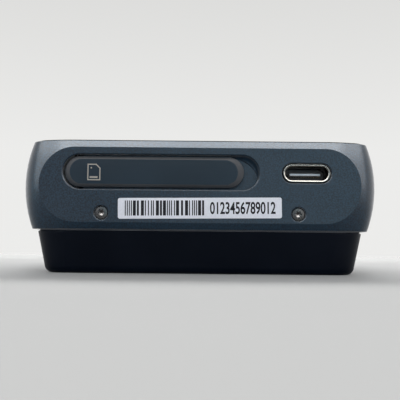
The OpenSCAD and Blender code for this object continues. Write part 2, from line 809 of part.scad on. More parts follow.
// USB port
module usb_shell() color(steel) port_end(usb_x, port_z) difference() {
  translate([0, 0, usb_sink]) linear_extrude(usb_l) stadium(usb_w, usb_h);
  translate([0, 0, usb_sink - 1]) linear_extrude(usb_l - usb_back + 1)
    stadium(usb_mouth_w, usb_mouth_h);
  translate([0, 0, usb_sink - lip_d / 2])
    stadium_taper(usb_mouth_w + 3 * lip_w, usb_mouth_h + 3 * lip_w, 1.5 * lip_d, 1.5 * lip_w);
}

module usb_tongue() color([0.30, 0.30, 0.31]) port_end(usb_x, port_z) {
  translate([-tongue_w / 2, -tongue_t / 2, tongue_sink])
    cube([tongue_w, tongue_t, usb_sink + usb_l - usb_back - tongue_sink]);
  translate([0, 0, usb_sink + usb_l - usb_back - 1.6]) linear_extrude(1.6)
    stadium(usb_mouth_w - 2 * fit_gap, usb_mouth_h - 2 * fit_gap);
}

module serial_label() color([0.93, 0.93, 0.92]) port_end(0, label_z) translate([0, 0, -label_t])
  linear_extrude(label_t) outline(label_w, label_h, label_r);

// Jack end
module jack(x) jack_end(x, mid) difference() {
  union() {
    translate([0, 0, nose_sink]) cylinder(d = jack_nose_d, h = end_wall);
    translate([-jack_w / 2, -jack_h / 2, end_wall + fit_gap]) cube([jack_w, jack_h, jack_l]);
  }
  cylinder(d = jack_bore_d, h = nose_sink + jack_bore_l);
}

module phones_jack() color(black) jack(phones_x);
module mic_jack() color(black) jack(mic_jack_x);

module jack_rings() color(gold) for (x = [phones_x, mic_jack_x]) jack_end(x, mid)
  translate([0, 0, ring_seat - ring_t]) difference() {
  union() {
    translate([0, 0, 0.2]) cylinder(r = ring_r, h = ring_t - 0.2);
    cylinder(r1 = ring_r - 0.2, r2 = ring_r, h = 0.2);
  }
  translate([0, 0, -1]) cylinder(d = jack_nose_d + 2 * ring_gap, h = ring_t + 2);
}

module encoder_body() color(steel) jack_end(knob_x, mid) difference() {
  union() {
    translate([-encoder_w / 2, -encoder_w / 2, end_wall]) cube([encoder_w, encoder_w, encoder_l]);
    translate([0, 0, -bush_out]) cylinder(r = bush_r, h = bush_out + end_wall + 0.1);
  }
  translate([0, 0, -bush_out - 1])
    cylinder(d = shaft_d + 2 * shaft_gap, h = bush_out + 1 + end_wall + encoder_l - 0.8);
}

module encoder_nut() color(steel) jack_end(knob_x, mid) translate([0, 0, -nut_t]) difference() {
  cylinder(r = nut_r, h = nut_t, $fn = 6);
  translate([0, 0, -1]) cylinder(r = bush_r + thread_gap, h = nut_t + 2);
}

module knob_shaft() color(steel) jack_end(knob_x, mid) translate([0, 0, knob_skin - knob_proud + 0.1])
  cylinder(d = shaft_d, h = knob_proud - knob_skin - 0.1 + end_wall + encoder_l - 1.1);

module knob_grip() polygon([
  for (k = [0 : 4 * knob_grooves - 1])
    let (a = 90 * k / knob_grooves, r = knob_d / 2 - (k % 4 == 0 ? groove_d : 0)) [r * cos(a), r * sin(a)]
]);

module volume_knob() color([0.20, 0.21, 0.23]) jack_end(knob_x, mid) difference() {
  intersection() {
    translate([0, 0, -knob_proud]) linear_extrude(knob_proud - knob_base) knob_grip();
    rotate_extrude() polygon([
      [0, -knob_base], [knob_d / 2 - 0.35, -knob_base], [knob_d / 2 + 0.01, -knob_base - 0.35],
      [knob_d / 2 + 0.01, -knob_proud + 0.6], [knob_d / 2 - 0.6, -knob_proud], [0, -knob_proud]
    ]);
  }
  translate([0, 0, -knob_base - knob_hollow_d]) cylinder(r = knob_hollow_r, h = knob_hollow_d + 1);
  translate([0, 0, knob_skin - knob_proud]) cylinder(d = shaft_d + 2 * thread_gap, h = knob_proud);
  translate([0, 0, -knob_proud - 1]) cylinder(r = knob_d / 2 - 1.6, h = 1.2);
  translate([-0.3, 1.6, -knob_proud]) cube([0.6, knob_d / 2 - 3.6, 0.45]);
}

module knob_light_ring() color([0.85, 0.86, 0.88]) jack_end(knob_x, mid) difference() {
  translate([0, 0, -0.05]) cylinder(r = light_r - ring_gap, h = light_d + 0.05);
  translate([0, 0, -1]) cylinder(r = light_in + ring_gap, h = light_d + 2);
}

module mics(depth) for (s = [-1, 1]) jack_end(s * mic_x, mid)
  translate([0, 0, end_wall - boot_seat + depth]) children();

module mic_meshes() color(steel) mics(0) cylinder(r = capsule_d / 2 + boot_wall - 0.1, h = mesh_t);

module mic_boots() color(black) mics(mesh_t) difference() {
  cylinder(r = capsule_d / 2 + boot_wall, h = boot_l);
  translate([0, 0, -1]) cylinder(r = capsule_d / 2 + thread_gap, h = boot_l + 1 - boot_floor);
}

module mic_capsules() color(steel) mics(mesh_t + boot_l - boot_floor - 1.6)
  cylinder(d = capsule_d, h = 1.6);

// Side keys
module key(y, l, h) right_side(y) {
  translate([0, 0, key_sink]) mirror([0, 0, 1]) translate([0, 0, -0.3]) stadium_taper(l, h, 0.3, 0.3);
  translate([0, 0, key_sink + 0.3]) linear_extrude(flange_d - key_sink - 0.3) stadium(l, h);
  translate([-l / 2 - 0.8, -h / 2 - 0.8, flange_d]) cube([l + 1.6, h + 1.6, flange_t]);
  translate([0, 0, flange_d + flange_t]) cylinder(r = nub_r, h = nub_l);
}

module record_key() color([0.62, 0.10, 0.10]) key(key_ys[0], record_l, record_l);
module play_key() color(slate) key(key_ys[1], key_l, key_h);
module back_key() color(slate) key(key_ys[2], key_l, key_h);
module forward_key() color(slate) key(key_ys[3], key_l, key_h);

module key_switches() color(steel) for (y = key_ys) right_side(y) translate([0, 0, switch_face])
  difference() {
  translate([-2.2, -2.2, 0]) cube([4.4, 4.4, switch_t]);
  translate([0, 0, -1]) cylinder(r = nub_r + 0.25, h = switch_hole + 1);
}

module key_board() color(green) right_side(keys_mid)
  translate([-keys_span / 2 - 4, -key_board_h / 2, key_board_d])
    cube([keys_span + 8, key_board_h, key_board_t]);

module side_bracket(span) {
  translate([-span / 2, -key_board_h / 2, bracket_d])
    cube([span, carrier_z - mid + key_board_h / 2, bracket_t]);
  translate([-span / 2, carrier_z - mid - bracket_t, bracket_d])
    cube([span, bracket_t, bracket_t + bracket_arm]);
}

module key_bracket() color(steel) right_side(keys_mid) side_bracket(keys_span + 8);

// Hold slider and its switch
module hold_slider() color(slate) left_side(slider_rest) {
  translate([0, 0, key_sink]) mirror([0, 0, 1]) translate([0, 0, -0.3])
    stadium_taper(slider_l, slider_h, 0.3, 0.3);
  translate([0, 0, key_sink + 0.3]) linear_extrude(flange_d - key_sink - 0.3)
    stadium(slider_l, slider_h);
  translate([-slider_l / 2 - 1, -slider_h / 2 - 0.8, flange_d])
    cube([slider_l + 2, slider_h + 1.6, flange_t]);
  translate([-0.6, -0.5, flange_d + flange_t]) cube([1.2, 1, nub_l]);
}

module hold_switch() color(steel) left_side(slider_y) translate([0, 0, switch_face]) difference() {
  translate([-4.5, -2, 0]) cube([9, 4, switch_t + key_board_t]);
  translate([-slider_travel / 2 - 0.9, -0.8, -1]) cube([slider_travel + 1.8, 1.6, switch_hole + 1]);
}

module hold_bracket() color(steel) left_side(slider_y) side_bracket(14);

chassis();
rear_gasket();
rear_cover();
end_screws();
front_glass();
glass_tape();
display_panel();
display_carrier();
carrier_screws();
main_board();
audio_board();
board_link();
board_screws();
processor_shield();
memory_chips();
battery_pack();
battery_pad();
card_socket_base();
card_socket_cover();
card_contacts();
card_door();
card_door_pin();
usb_shell();
usb_tongue();
serial_label();
phones_jack();
mic_jack();
jack_rings();
encoder_body();
encoder_nut();
knob_shaft();
volume_knob();
knob_light_ring();
mic_capsules();
mic_boots();
mic_meshes();
record_key();
play_key();
back_key();
forward_key();
key_board();
key_switches();
key_bracket();
hold_slider();
hold_switch();
hold_bracket();
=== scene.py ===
import json
import math

import bmesh
import bpy
import numpy as np
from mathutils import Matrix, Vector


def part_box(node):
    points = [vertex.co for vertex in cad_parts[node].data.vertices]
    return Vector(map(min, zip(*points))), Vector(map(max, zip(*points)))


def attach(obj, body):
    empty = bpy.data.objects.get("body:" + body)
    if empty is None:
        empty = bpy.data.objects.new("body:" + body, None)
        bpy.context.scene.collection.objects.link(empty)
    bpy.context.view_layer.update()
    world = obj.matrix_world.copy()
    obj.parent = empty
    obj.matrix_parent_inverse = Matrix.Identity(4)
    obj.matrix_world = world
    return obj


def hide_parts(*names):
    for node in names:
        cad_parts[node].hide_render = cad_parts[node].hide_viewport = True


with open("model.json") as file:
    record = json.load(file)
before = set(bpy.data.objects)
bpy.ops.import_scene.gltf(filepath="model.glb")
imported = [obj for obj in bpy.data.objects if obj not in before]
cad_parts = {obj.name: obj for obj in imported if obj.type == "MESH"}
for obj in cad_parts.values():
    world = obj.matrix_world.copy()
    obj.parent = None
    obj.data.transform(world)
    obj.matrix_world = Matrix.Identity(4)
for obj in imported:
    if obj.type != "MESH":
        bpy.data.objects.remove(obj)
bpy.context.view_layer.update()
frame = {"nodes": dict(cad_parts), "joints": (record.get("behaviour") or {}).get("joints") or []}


# Chassis. A ring milled from one aluminium block, with bulged sides and a flat cut at both ends.
# It is bead blasted and anodised a dark blue slate, so its surface is a fine even grain.
# Every other piece is screwed, bonded or pressed into it.
def new_finish(name, colour, rough, metal=0.0, gloss=0.5):
    """A Principled finish whose even values sit on the shader's own sockets."""
    finish = bpy.data.materials.new(name)
    finish.use_nodes = True
    shader = finish.node_tree.nodes["Principled BSDF"]
    shader.inputs["Base Color"].default_value = (*colour, 1.0)
    shader.inputs["Roughness"].default_value = rough
    shader.inputs["Metallic"].default_value = metal
    shader.inputs["Specular IOR Level"].default_value = gloss
    return finish


def object_noise(finish, cells, detail=2.0, stretch=(1.0, 1.0, 1.0)):
    """Noise on Object coordinates, counted in cells per metre and stretched along the axes."""
    nodes = finish.node_tree.nodes
    links = finish.node_tree.links
    place = nodes.new("ShaderNodeTexCoord")
    mapping = nodes.new("ShaderNodeMapping")
    mapping.inputs["Scale"].default_value = stretch
    noise = nodes.new("ShaderNodeTexNoise")
    noise.inputs["Scale"].default_value = cells
    noise.inputs["Detail"].default_value = detail
    links.new(place.outputs["Object"], mapping.inputs["Vector"])
    links.new(mapping.outputs["Vector"], noise.inputs["Vector"])
    return noise.outputs["Fac"]


def spread(finish, source, low, high, to_low=0.0, to_high=1.0):
    """Map a value from the range low to high onto the range to_low to to_high, and no further."""
    node = finish.node_tree.nodes.new("ShaderNodeMapRange")
    node.inputs["From Min"].default_value = low
    node.inputs["From Max"].default_value = high
    node.inputs["To Min"].default_value = to_low
    node.inputs["To Max"].default_value = to_high
    finish.node_tree.links.new(source, node.inputs["Value"])
    return node.outputs["Result"]


def mix_colours(finish, factor, first, second):
    """Mix two colours by a factor; each may be a fixed colour or another node's output."""
    node = finish.node_tree.nodes.new("ShaderNodeMix")
    node.data_type = "RGBA"
    finish.node_tree.links.new(factor, node.inputs["Factor"])
    for socket, colour in (("A", first), ("B", second)):
        inlet = [s for s in node.inputs if s.name == socket and s.type == "RGBA"][0]
        if isinstance(colour, tuple):
            inlet.default_value = (*colour, 1.0)
        else:
            finish.node_tree.links.new(colour, inlet)
    return [s for s in node.outputs if s.type == "RGBA"][0]


def drive(finish, socket, source):
    """Feed a Principled socket from a varying node output."""
    shader = finish.node_tree.nodes["Principled BSDF"]
    finish.node_tree.links.new(source, shader.inputs[socket])


def grain_bump(finish, source, height, edge_round=0.0):
    """Bump from a varying source, over edges eased by a small radius."""
    nodes = finish.node_tree.nodes
    links = finish.node_tree.links
    bump = nodes.new("ShaderNodeBump")
    bump.inputs["Distance"].default_value = height
    bump.inputs["Strength"].default_value = 1.0
    links.new(source, bump.inputs["Height"])
    if edge_round > 0.0:
        ease = nodes.new("ShaderNodeBevel")
        ease.samples = 6
        ease.inputs["Radius"].default_value = edge_round
        links.new(ease.outputs["Normal"], bump.inputs["Normal"])
    drive(finish, "Normal", bump.outputs["Normal"])


def coat_node(name, finish):
    """Give every material slot of a CAD node the finish."""
    for place in frame["nodes"][name].material_slots:
        place.material = finish


def shaded(colour, factor, lift=0.0):
    """A colour with each part multiplied by a factor and raised by a small lift."""
    return tuple(factor * part + lift for part in colour)


def blasted_metal(name, dark, light, rough, grain_height):
    """Anodised, bead blasted aluminium: two tones in a fine grain, broad drift and a grain bump.
    The clear oxide over the dyed metal has a gloss of its own, so it is only part metallic."""
    bead_cells = 3600.0
    drift_cells = 60.0
    drift_rough = 0.03
    edge_ease = 0.00007
    finish = new_finish(name, light, rough, metal=0.1, gloss=0.41)
    shader = finish.node_tree.nodes["Principled BSDF"]
    shader.inputs["Sheen Weight"].default_value = 0.25
    shader.inputs["Sheen Roughness"].default_value = 0.45
    beads = object_noise(finish, bead_cells, detail=1.0)
    drift = object_noise(finish, drift_cells)
    grain = mix_colours(finish, spread(finish, beads, 0.34, 0.66), dark, light)
    wear = spread(finish, drift, 0.35, 0.7, 0.0, 0.4)
    drive(finish, "Base Color", mix_colours(finish, wear, grain, shaded(light, 0.86)))
    drive(finish, "Roughness", spread(finish, drift, 0.3, 0.7, rough - drift_rough, rough + drift_rough))
    grain_bump(finish, beads, grain_height, edge_round=edge_ease)
    return finish


slate_dark = (0.0005, 0.0045, 0.011)
slate_light = (0.005, 0.026, 0.05)
chassis_finish = blasted_metal(
    "chassis_blasted_slate", slate_dark, slate_light, rough=0.3, grain_height=0.000013
)
coat_node("chassis", chassis_finish)


# Back cover and its gasket. A drafted tub moulded in black plastic with a fine satin texture.
# Two hooks hold it at the jack end and two screws at the port end.
# The gasket is a thin grey rubber frame in the seam that shows as a pale line, partly a painted
# highlight.
def moulded_plastic(name, colour, rough, cells, height, gloss=0.5):
    """Moulded plastic: a spark-eroded texture as bump, and a faint drift in tone and gloss."""
    drift_cells = 90.0
    texture_rough = 0.05
    edge_ease = 0.00006
    finish = new_finish(name, colour, rough, gloss=gloss)
    texture = object_noise(finish, cells, detail=3.0)
    drift = spread(finish, object_noise(finish, drift_cells), 0.35, 0.7)
    drive(finish, "Base Color", mix_colours(finish, drift, colour, shaded(colour, 1.25, lift=0.001)))
    polish = spread(finish, texture, 0.3, 0.7, rough - texture_rough, rough + texture_rough)
    drive(finish, "Roughness", polish)
    grain_bump(finish, texture, height, edge_round=edge_ease)
    return finish


cover_black = (0.0003, 0.0018, 0.0055)
# The gasket grey is partly the rubber's own colour and partly a painted highlight along the seam.
gasket_highlight_grey = (0.08, 0.085, 0.095)
cover_finish = moulded_plastic(
    "rear_cover_black", cover_black, rough=0.4, cells=2600.0, height=0.000003, gloss=0.07
)
gasket_highlight_finish = moulded_plastic("gasket_rubber_pale_highlight", gasket_highlight_grey, rough=0.7, cells=1500.0, height=0.000004)
coat_node("rear_cover", cover_finish)
coat_node("rear_gasket", gasket_highlight_finish)


# Battery, its foam pad, the circuit boards and what is soldered to them: a wrapped cell, boards under
# green mask, black resin chips and bent steel screens. All of them lie inside the closed body, and
# the boards are screwed to posts of the display carrier.
def solder_mask(name, colour):
    """Green solder mask over copper: tracks show as a paler square pattern in a glossy lacquer."""
    track_cells = 900.0
    track_stretch = 0.08
    track_height = 0.000015
    finish = new_finish(name, colour, rough=0.35)
    across = object_noise(finish, track_cells, detail=0.0, stretch=(1.0, track_stretch, 1.0))
    along = object_noise(finish, track_cells, detail=0.0, stretch=(track_stretch, 1.0, 1.0))
    pale = shaded(colour, 1.7)
    one_way = mix_colours(finish, spread(finish, across, 0.5, 0.54), colour, pale)
    both_ways = mix_colours(finish, spread(finish, along, 0.56, 0.6), one_way, pale)
    drive(finish, "Base Color", both_ways)
    grain_bump(finish, across, track_height)
    return finish


def rolled_steel(name, colour, rough, cells=900.0):
    """Drawn sheet metal: fine lines along the length vary the roughness and the bump."""
    line_stretch = 0.06
    line_rough = 0.06
    line_height = 0.000003
    edge_ease = 0.00005
    finish = new_finish(name, colour, rough, metal=1.0)
    lines = object_noise(finish, cells, stretch=(1.0, line_stretch, 1.0))
    tone = spread(finish, lines, 0.35, 0.65)
    drive(finish, "Base Color", mix_colours(finish, tone, shaded(colour, 0.8), colour))
    drive(finish, "Roughness", spread(finish, lines, 0.3, 0.7, rough - line_rough, rough + line_rough))
    grain_bump(finish, lines, line_height, edge_round=edge_ease)
    return finish


board_finish = solder_mask("board_green_mask", (0.012, 0.075, 0.035))
for board in ("main_board", "audio_board", "key_board"):
    coat_node(board, board_finish)
chip_black = (0.012, 0.012, 0.013)
chip_finish = moulded_plastic("chip_black_resin", chip_black, rough=0.5, cells=1800.0, height=0.000006)
for chip in ("memory_chips", "board_link", "card_socket_base"):
    coat_node(chip, chip_finish)
sheet_finish = rolled_steel("sheet_steel", (0.56, 0.57, 0.58), rough=0.32)
sheet_nodes = (
    "processor_shield", "card_socket_cover", "display_carrier", "carrier_screws", "board_screws",
    "encoder_body", "encoder_nut", "knob_shaft", "key_switches", "key_bracket", "hold_switch",
    "hold_bracket", "mic_capsules",
)
for sheet_node in sheet_nodes:
    coat_node(sheet_node, sheet_finish)
wrap_grey = (0.22, 0.23, 0.25)
foam_pale = (0.5, 0.5, 0.47)
wrap_finish = moulded_plastic("battery_wrap_grey", wrap_grey, rough=0.45, cells=700.0, height=0.00002)
foam_finish = moulded_plastic("battery_pad_foam", foam_pale, rough=0.9, cells=1600.0, height=0.00006)
coat_node("battery_pack", wrap_finish)
coat_node("battery_pad", foam_finish)
coat_node("card_contacts", rolled_steel("contact_gold_plate", (0.82, 0.58, 0.24), rough=0.25))


# USB port. A drawn steel shell with a rounded mouth round a moulded tongue, soldered to the main board.
# The tongue carries a steel mid plate that shows at its front edge and gold contacts above and below.
def shell_of(points, wrap):
    """Vertices and quads of a grid of points; wrap joins the last column to the first."""
    rows, columns = points.shape[:2]
    index = np.arange(rows * columns).reshape(rows, columns)
    if wrap:
        index = np.concatenate([index, index[:, :1]], axis=1)
    corners = (index[:-1, :-1], index[:-1, 1:], index[1:, 1:], index[1:, :-1])
    return points.reshape(-1, 3), np.stack([c.ravel() for c in corners], axis=1)


def make_piece(name, shells, finish, sharp=35.0):
    """One mesh from several shells: doubles merged, faces outwards, smooth below the sharp angle."""
    weld = 2e-7
    sliver = 1e-7
    counts = np.cumsum([0] + [len(points) for points, quads in shells])
    points = np.concatenate([points for points, quads in shells])
    quads = np.concatenate([quads + start for (flat, quads), start in zip(shells, counts)])
    mesh = bpy.data.meshes.new(name)
    mesh.from_pydata(points.tolist(), [], quads.tolist())
    work = bmesh.new()
    work.from_mesh(mesh)
    bmesh.ops.remove_doubles(work, verts=work.verts, dist=weld)
    bmesh.ops.dissolve_degenerate(work, edges=work.edges, dist=sliver)
    bmesh.ops.recalc_face_normals(work, faces=work.faces)
    work.to_mesh(mesh)
    work.free()
    mesh.polygons.foreach_set("use_smooth", np.ones(len(mesh.polygons), dtype=bool))
    mesh.set_sharp_from_angle(angle=math.radians(sharp))
    mesh.materials.append(finish)
    piece = bpy.data.objects.new(name, mesh)
    bpy.context.scene.collection.objects.link(piece)
    return piece


def round_outline(half_width, half_height, radius, arc_points):
    """Rectangle with round corners, as points once round: four arcs about the corner centres."""
    turn = np.linspace(0.0, math.pi / 2, arc_points)
    quarter = np.arange(4)[:, None] * math.pi / 2 + turn[None, :]
    side_x = np.array([1.0, -1.0, -1.0, 1.0])[:, None] * (half_width - radius)
    side_y = np.array([1.0, 1.0, -1.0, -1.0])[:, None] * (half_height - radius)
    x = side_x + radius * np.cos(quarter)
    y = side_y + radius * np.sin(quarter)
    return np.stack([x, y], axis=-1).reshape(-1, 2)


def end_plate(outline, centre, front, back, edge):
    """A plate that faces along Y: the outline carried from back to front, its front edge eased by a
    quarter ellipse of the given radius (negative where it faces +Y). The back closes to its middle
    point and the front to its middle line."""
    ease = np.linspace(0.0, math.pi / 2, 5)
    shrink = np.abs(np.concatenate([[0.0, 0.0], edge * (1.0 - np.cos(ease)), [edge]]))
    depth = np.concatenate([[back, back], front + edge * (1.0 - np.sin(ease)), [front]])
    size = np.abs(outline).max(axis=0)
    scale = 1.0 - shrink[:, None] / size[None, :]
    scale[0] = 0.0
    scale[-1, 1] = 0.0
    flat = outline[None, :, :] * scale[:, None, :]
    x = centre[0] + flat[..., 0]
    y = np.broadcast_to(depth[:, None], x.shape)
    z = centre[1] + flat[..., 1]
    return shell_of(np.stack([x, y, z], -1), True)


def box_row(low, high):
    """Closed boxes between lowest and highest corners, eight points and six quads each. A corner has
    three coordinates, and each of them is one number or an array with a number for each box."""
    low, high = [np.stack(np.broadcast_arrays(*np.atleast_1d(*corner)), -1) for corner in (low, high)]
    base = [[0, 0, 0], [1, 0, 0], [1, 1, 0], [0, 1, 0]]
    pick = np.array(base + [[x, y, 1] for x, y, z in base])
    points = low[:, None, :] + pick[None, :, :] * (high - low)[:, None, :]
    ends = [[0, 3, 2, 1], [4, 5, 6, 7]]
    walls = [[0, 1, 5, 4], [1, 2, 6, 5], [2, 3, 7, 6], [3, 0, 4, 7]]
    quads = np.array(ends + walls)[None, :, :] + 8 * np.arange(len(low))[:, None, None]
    return points.reshape(-1, 3), quads.reshape(-1, 4)


def drawn_shell(middle, half_run, half_height, inset, y):
    """A tube with half round ends along Y, closed at its back: each row of the profile gives how far
    the outline lies inside the outer wall and where it is along Y. A full inset closes a row to the
    middle line."""
    arc_points = 25
    turn = np.linspace(-math.pi / 2, math.pi / 2, arc_points)
    side = np.repeat([1.0, -1.0], arc_points)
    way = side[:, None] * np.tile(np.stack([np.cos(turn), np.sin(turn)], 1), (2, 1))
    flat = (half_height - inset)[:, None, None] * way[None]
    x = middle[0] + half_run * side[None] + flat[..., 0]
    z = middle[1] + flat[..., 1]
    return shell_of(np.stack([x, np.broadcast_to(y[:, None], x.shape), z], -1), True)


shell_low, shell_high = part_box("usb_shell")
shell_middle = ((shell_low.x + shell_high.x) / 2, (shell_low.z + shell_high.z) / 2)
shell_gap = 0.00007
shell_height = (shell_high.z - shell_low.z) / 2 - shell_gap
shell_run = (shell_high.x - shell_low.x) / 2 - shell_gap - shell_height
shell_wall = 0.00036
shell_back = 0.0012
shell_floor = shell_high.y - shell_back
lip_turn = np.linspace(0.0, math.pi / 2, 7)
lip_edge = 0.00005
lip_depth = 0.00022
lip_roll = lip_edge + (shell_wall - lip_edge) * np.sin(lip_turn)
lip_inset = np.concatenate([lip_edge * (1.0 - np.cos(lip_turn)), lip_roll])
lip_y = np.concatenate([lip_edge * (1.0 - np.sin(lip_turn)), lip_depth * (1.0 - np.cos(lip_turn))])
shell_inset = np.concatenate([[shell_height, 0.0], lip_inset, [shell_wall, shell_height]])
shell_y = np.concatenate([[shell_high.y] * 2, shell_low.y + lip_y, [shell_floor] * 2])
usb_shell = make_piece(
    "usb_shell_drawn",
    [drawn_shell(shell_middle, shell_run, shell_height, shell_inset, shell_y)],
    rolled_steel("usb_shell_nickel", (0.25, 0.235, 0.212), rough=0.13, cells=1600.0),
)
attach(usb_shell, "housing")
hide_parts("usb_shell")

tongue_grey = (0.022, 0.021, 0.021)
tongue_finish = moulded_plastic(
    "usb_tongue_resin", tongue_grey, rough=0.45, cells=2400.0, height=0.000004
)
coat_node("usb_tongue", tongue_finish)

tongue_low, tongue_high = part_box("usb_tongue")
usb_middle = ((tongue_low.x + tongue_high.x) / 2, (tongue_low.z + tongue_high.z) / 2)
plate_half = (0.00305, 0.00021)
plate_corner = 0.0002
plate_ease = 0.00006
plate_proud = 0.00008
plate_sunk = 0.0008
plate_front = tongue_low.y - plate_proud
plate_back = tongue_low.y + plate_sunk
plate_outline = round_outline(*plate_half, plate_corner, arc_points=6)
mid_plate = make_piece(
    "usb_mid_plate",
    [end_plate(plate_outline, usb_middle, plate_front, plate_back, plate_ease)],
    rolled_steel("usb_mid_plate_steel", (0.4, 0.4, 0.41), rough=0.4, cells=1600.0),
)
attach(mid_plate, "housing")

contact_count = 12
contact_pitch = 0.0005
contact_start = 0.0012
contact_end = 0.0036
tongue_half = 0.00035
contact_proud = 0.00001
contact_wide = 0.00013
contact_tall = tongue_half + contact_proud
contact_x = usb_middle[0] + contact_pitch * (np.arange(contact_count) - (contact_count - 1) / 2)
contact_low = (contact_x - contact_wide, tongue_low.y + contact_start, usb_middle[1] - contact_tall)
contact_high = (contact_x + contact_wide, tongue_low.y + contact_end, usb_middle[1] + contact_tall)
usb_contacts = make_piece(
    "usb_contacts",
    [box_row(contact_low, contact_high)],
    rolled_steel("usb_contact_gold", (0.83, 0.6, 0.27), rough=0.22),
)
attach(usb_contacts, "housing")


# Jack end. Two moulded jacks with gilt trim rings stand on the audio board. A turned level knob with a
# painted pointer is pushed on the encoder's shaft, over a milky light ring. Two microphones sit in
# rubber boots behind woven steel mesh.
jack_black = (0.013, 0.013, 0.014)
jack_finish = moulded_plastic("jack_black_resin", jack_black, rough=0.4, cells=1800.0, height=0.000004)
for jack in ("phones_jack", "mic_jack"):
    coat_node(jack, jack_finish)
coat_node("jack_rings", rolled_steel("jack_ring_gilt", (0.78, 0.58, 0.3), rough=0.22, cells=2200.0))
knob_dark = (0.017, 0.027, 0.04)
knob_light = (0.026, 0.038, 0.054)
knob_finish = blasted_metal(
    "knob_blasted_slate", knob_dark, knob_light, rough=0.25, grain_height=0.000003
)
coat_node("volume_knob", knob_finish)
knob_low, knob_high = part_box("volume_knob")
knob_middle = ((knob_low.x + knob_high.x) / 2, (knob_low.z + knob_high.z) / 2)
pointer_half = (0.00027, 0.00142)
pointer_corner = 0.0001
pointer_ease = 0.00004
pointer_reach = 0.00305
pointer_groove = 0.00045
pointer_paint = 0.00012
pointer_sunk = 0.00005
pointer_front = knob_high.y - pointer_groove + pointer_paint
pointer_back = knob_high.y - pointer_groove - pointer_sunk
pointer_middle = (knob_middle[0], knob_middle[1] + pointer_reach)
pointer_outline = round_outline(*pointer_half, pointer_corner, arc_points=6)
paint_pale = (0.6, 0.61, 0.62)
paint_finish = moulded_plastic("sign_paint_pale", paint_pale, rough=0.5, cells=3000.0, height=0.000003)
pointer = make_piece(
    "knob_pointer",
    [end_plate(pointer_outline, pointer_middle, pointer_front, pointer_back, -pointer_ease)],
    paint_finish,
)
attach(pointer, "level_knob")
ring_milky = (0.68, 0.7, 0.72)
boot_black = (0.018, 0.018, 0.019)
ring_finish = moulded_plastic("light_ring_milky", ring_milky, rough=0.35, cells=1200.0, height=0.000003)
boot_finish = moulded_plastic("mic_boot_rubber", boot_black, rough=0.75, cells=1500.0, height=0.000005)
coat_node("knob_light_ring", ring_finish)
coat_node("mic_boots", boot_finish)


def reckon(finish, operation, first, second=0.0):
    """A value worked out from a varying value and a number, or from two varying values."""
    node = finish.node_tree.nodes.new("ShaderNodeMath")
    node.operation = operation
    finish.node_tree.links.new(first, node.inputs[0])
    if isinstance(second, float):
        node.inputs[1].default_value = second
    else:
        finish.node_tree.links.new(second, node.inputs[1])
    return node.outputs["Value"]


def woven_steel(name, wires):
    """Woven wire: two crossed sine waves at a given count per metre make the bump and the dark gaps."""
    gap_dark = (0.03, 0.03, 0.03)
    wire_pale = (0.5, 0.5, 0.5)
    weave_height = 0.00003
    finish = new_finish(name, wire_pale, rough=0.35, metal=1.0)
    nodes = finish.node_tree.nodes
    links = finish.node_tree.links
    place = nodes.new("ShaderNodeTexCoord")
    bands = []
    for direction in ("X", "Z"):
        wave = nodes.new("ShaderNodeTexWave")
        wave.bands_direction = direction
        wave.inputs["Scale"].default_value = wires
        links.new(place.outputs["Object"], wave.inputs["Vector"])
        bands.append(wave.outputs["Fac"])
    crossing = reckon(finish, "MAXIMUM", *bands)
    drive(finish, "Base Color", mix_colours(finish, crossing, gap_dark, wire_pale))
    grain_bump(finish, crossing, weave_height)
    return finish


coat_node("mic_meshes", woven_steel("mic_mesh_woven", 1500.0))


# Side keys and hold slider. Milled and anodised caps that stand in slots of the chassis, held by
# flanges behind the wall. The record key is anodised red. The signs on the keys are pale paint, and
# the slider has grip ridges.
key_dark = (0.02, 0.035, 0.052)
key_light = (0.03, 0.048, 0.07)
red_dark = (0.36, 0.012, 0.012)
red_light = (0.46, 0.02, 0.018)
key_finish = blasted_metal("key_blasted_slate", key_dark, key_light, rough=0.25, grain_height=0.000003)
record_finish = blasted_metal("record_key_red", red_dark, red_light, rough=0.32, grain_height=0.000003)
for cap in ("play_key", "back_key", "forward_key", "hold_slider"):
    coat_node(cap, key_finish)
coat_node("record_key", record_finish)


def unit_ring(count):
    """Points evenly spaced once round a circle of radius one."""
    turn = np.linspace(0.0, 2 * math.pi, count + 1)[:-1]
    return np.stack([np.cos(turn), np.sin(turn)], 1)


def key_sign(outline, shift, cap_high, key_middle):
    """A thin prism of paint on a side key: the outline in y and z carried along X through the cap face,
    closed to its own middle at both faces."""
    paint = 0.000012
    rows = np.stack([0.0 * outline, outline, outline, 0.0 * outline])
    x = np.broadcast_to((cap_high + np.array([-paint, -paint, paint, paint]))[:, None], rows.shape[:2])
    y = key_middle[0] + shift + rows[..., 0]
    z = key_middle[1] + rows[..., 1]
    return shell_of(np.stack([x, y, z], -1), True)


mark_half = 0.0008
record_half = 0.00085
play_scale = 1.25
arrow_slim = 0.72
bar_slim = 0.16
mark_dot = record_half * unit_ring(32)
mark_arrow = mark_half * np.array([[-arrow_slim, -1.0], [arrow_slim, 0.0], [-arrow_slim, 1.0]])
mark_bar = mark_half * np.array([[-bar_slim, -1.0], [bar_slim, -1.0], [bar_slim, 1.0], [-bar_slim, 1.0]])
play_arrow = play_scale * mark_arrow
fore_place = 0.00045
rear_place = -0.0007
bar_place = 0.00125
key_signs = {
    "record_key": [(mark_dot, 0.0)],
    "play_key": [(play_arrow, 0.0)],
    "back_key": [(-mark_arrow, -fore_place), (-mark_arrow, -rear_place), (mark_bar, -bar_place)],
    "forward_key": [(mark_arrow, fore_place), (mark_arrow, rear_place), (mark_bar, bar_place)],
}
for key_name, marks in key_signs.items():
    cap_low, cap_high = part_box(key_name)
    cap_middle = ((cap_low.y + cap_high.y) / 2, (cap_low.z + cap_high.z) / 2)
    sign_shells = [key_sign(outline, shift, cap_high.x, cap_middle) for outline, shift in marks]
    sign = make_piece(key_name + "_sign", sign_shells, paint_finish)
    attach(sign, key_name)

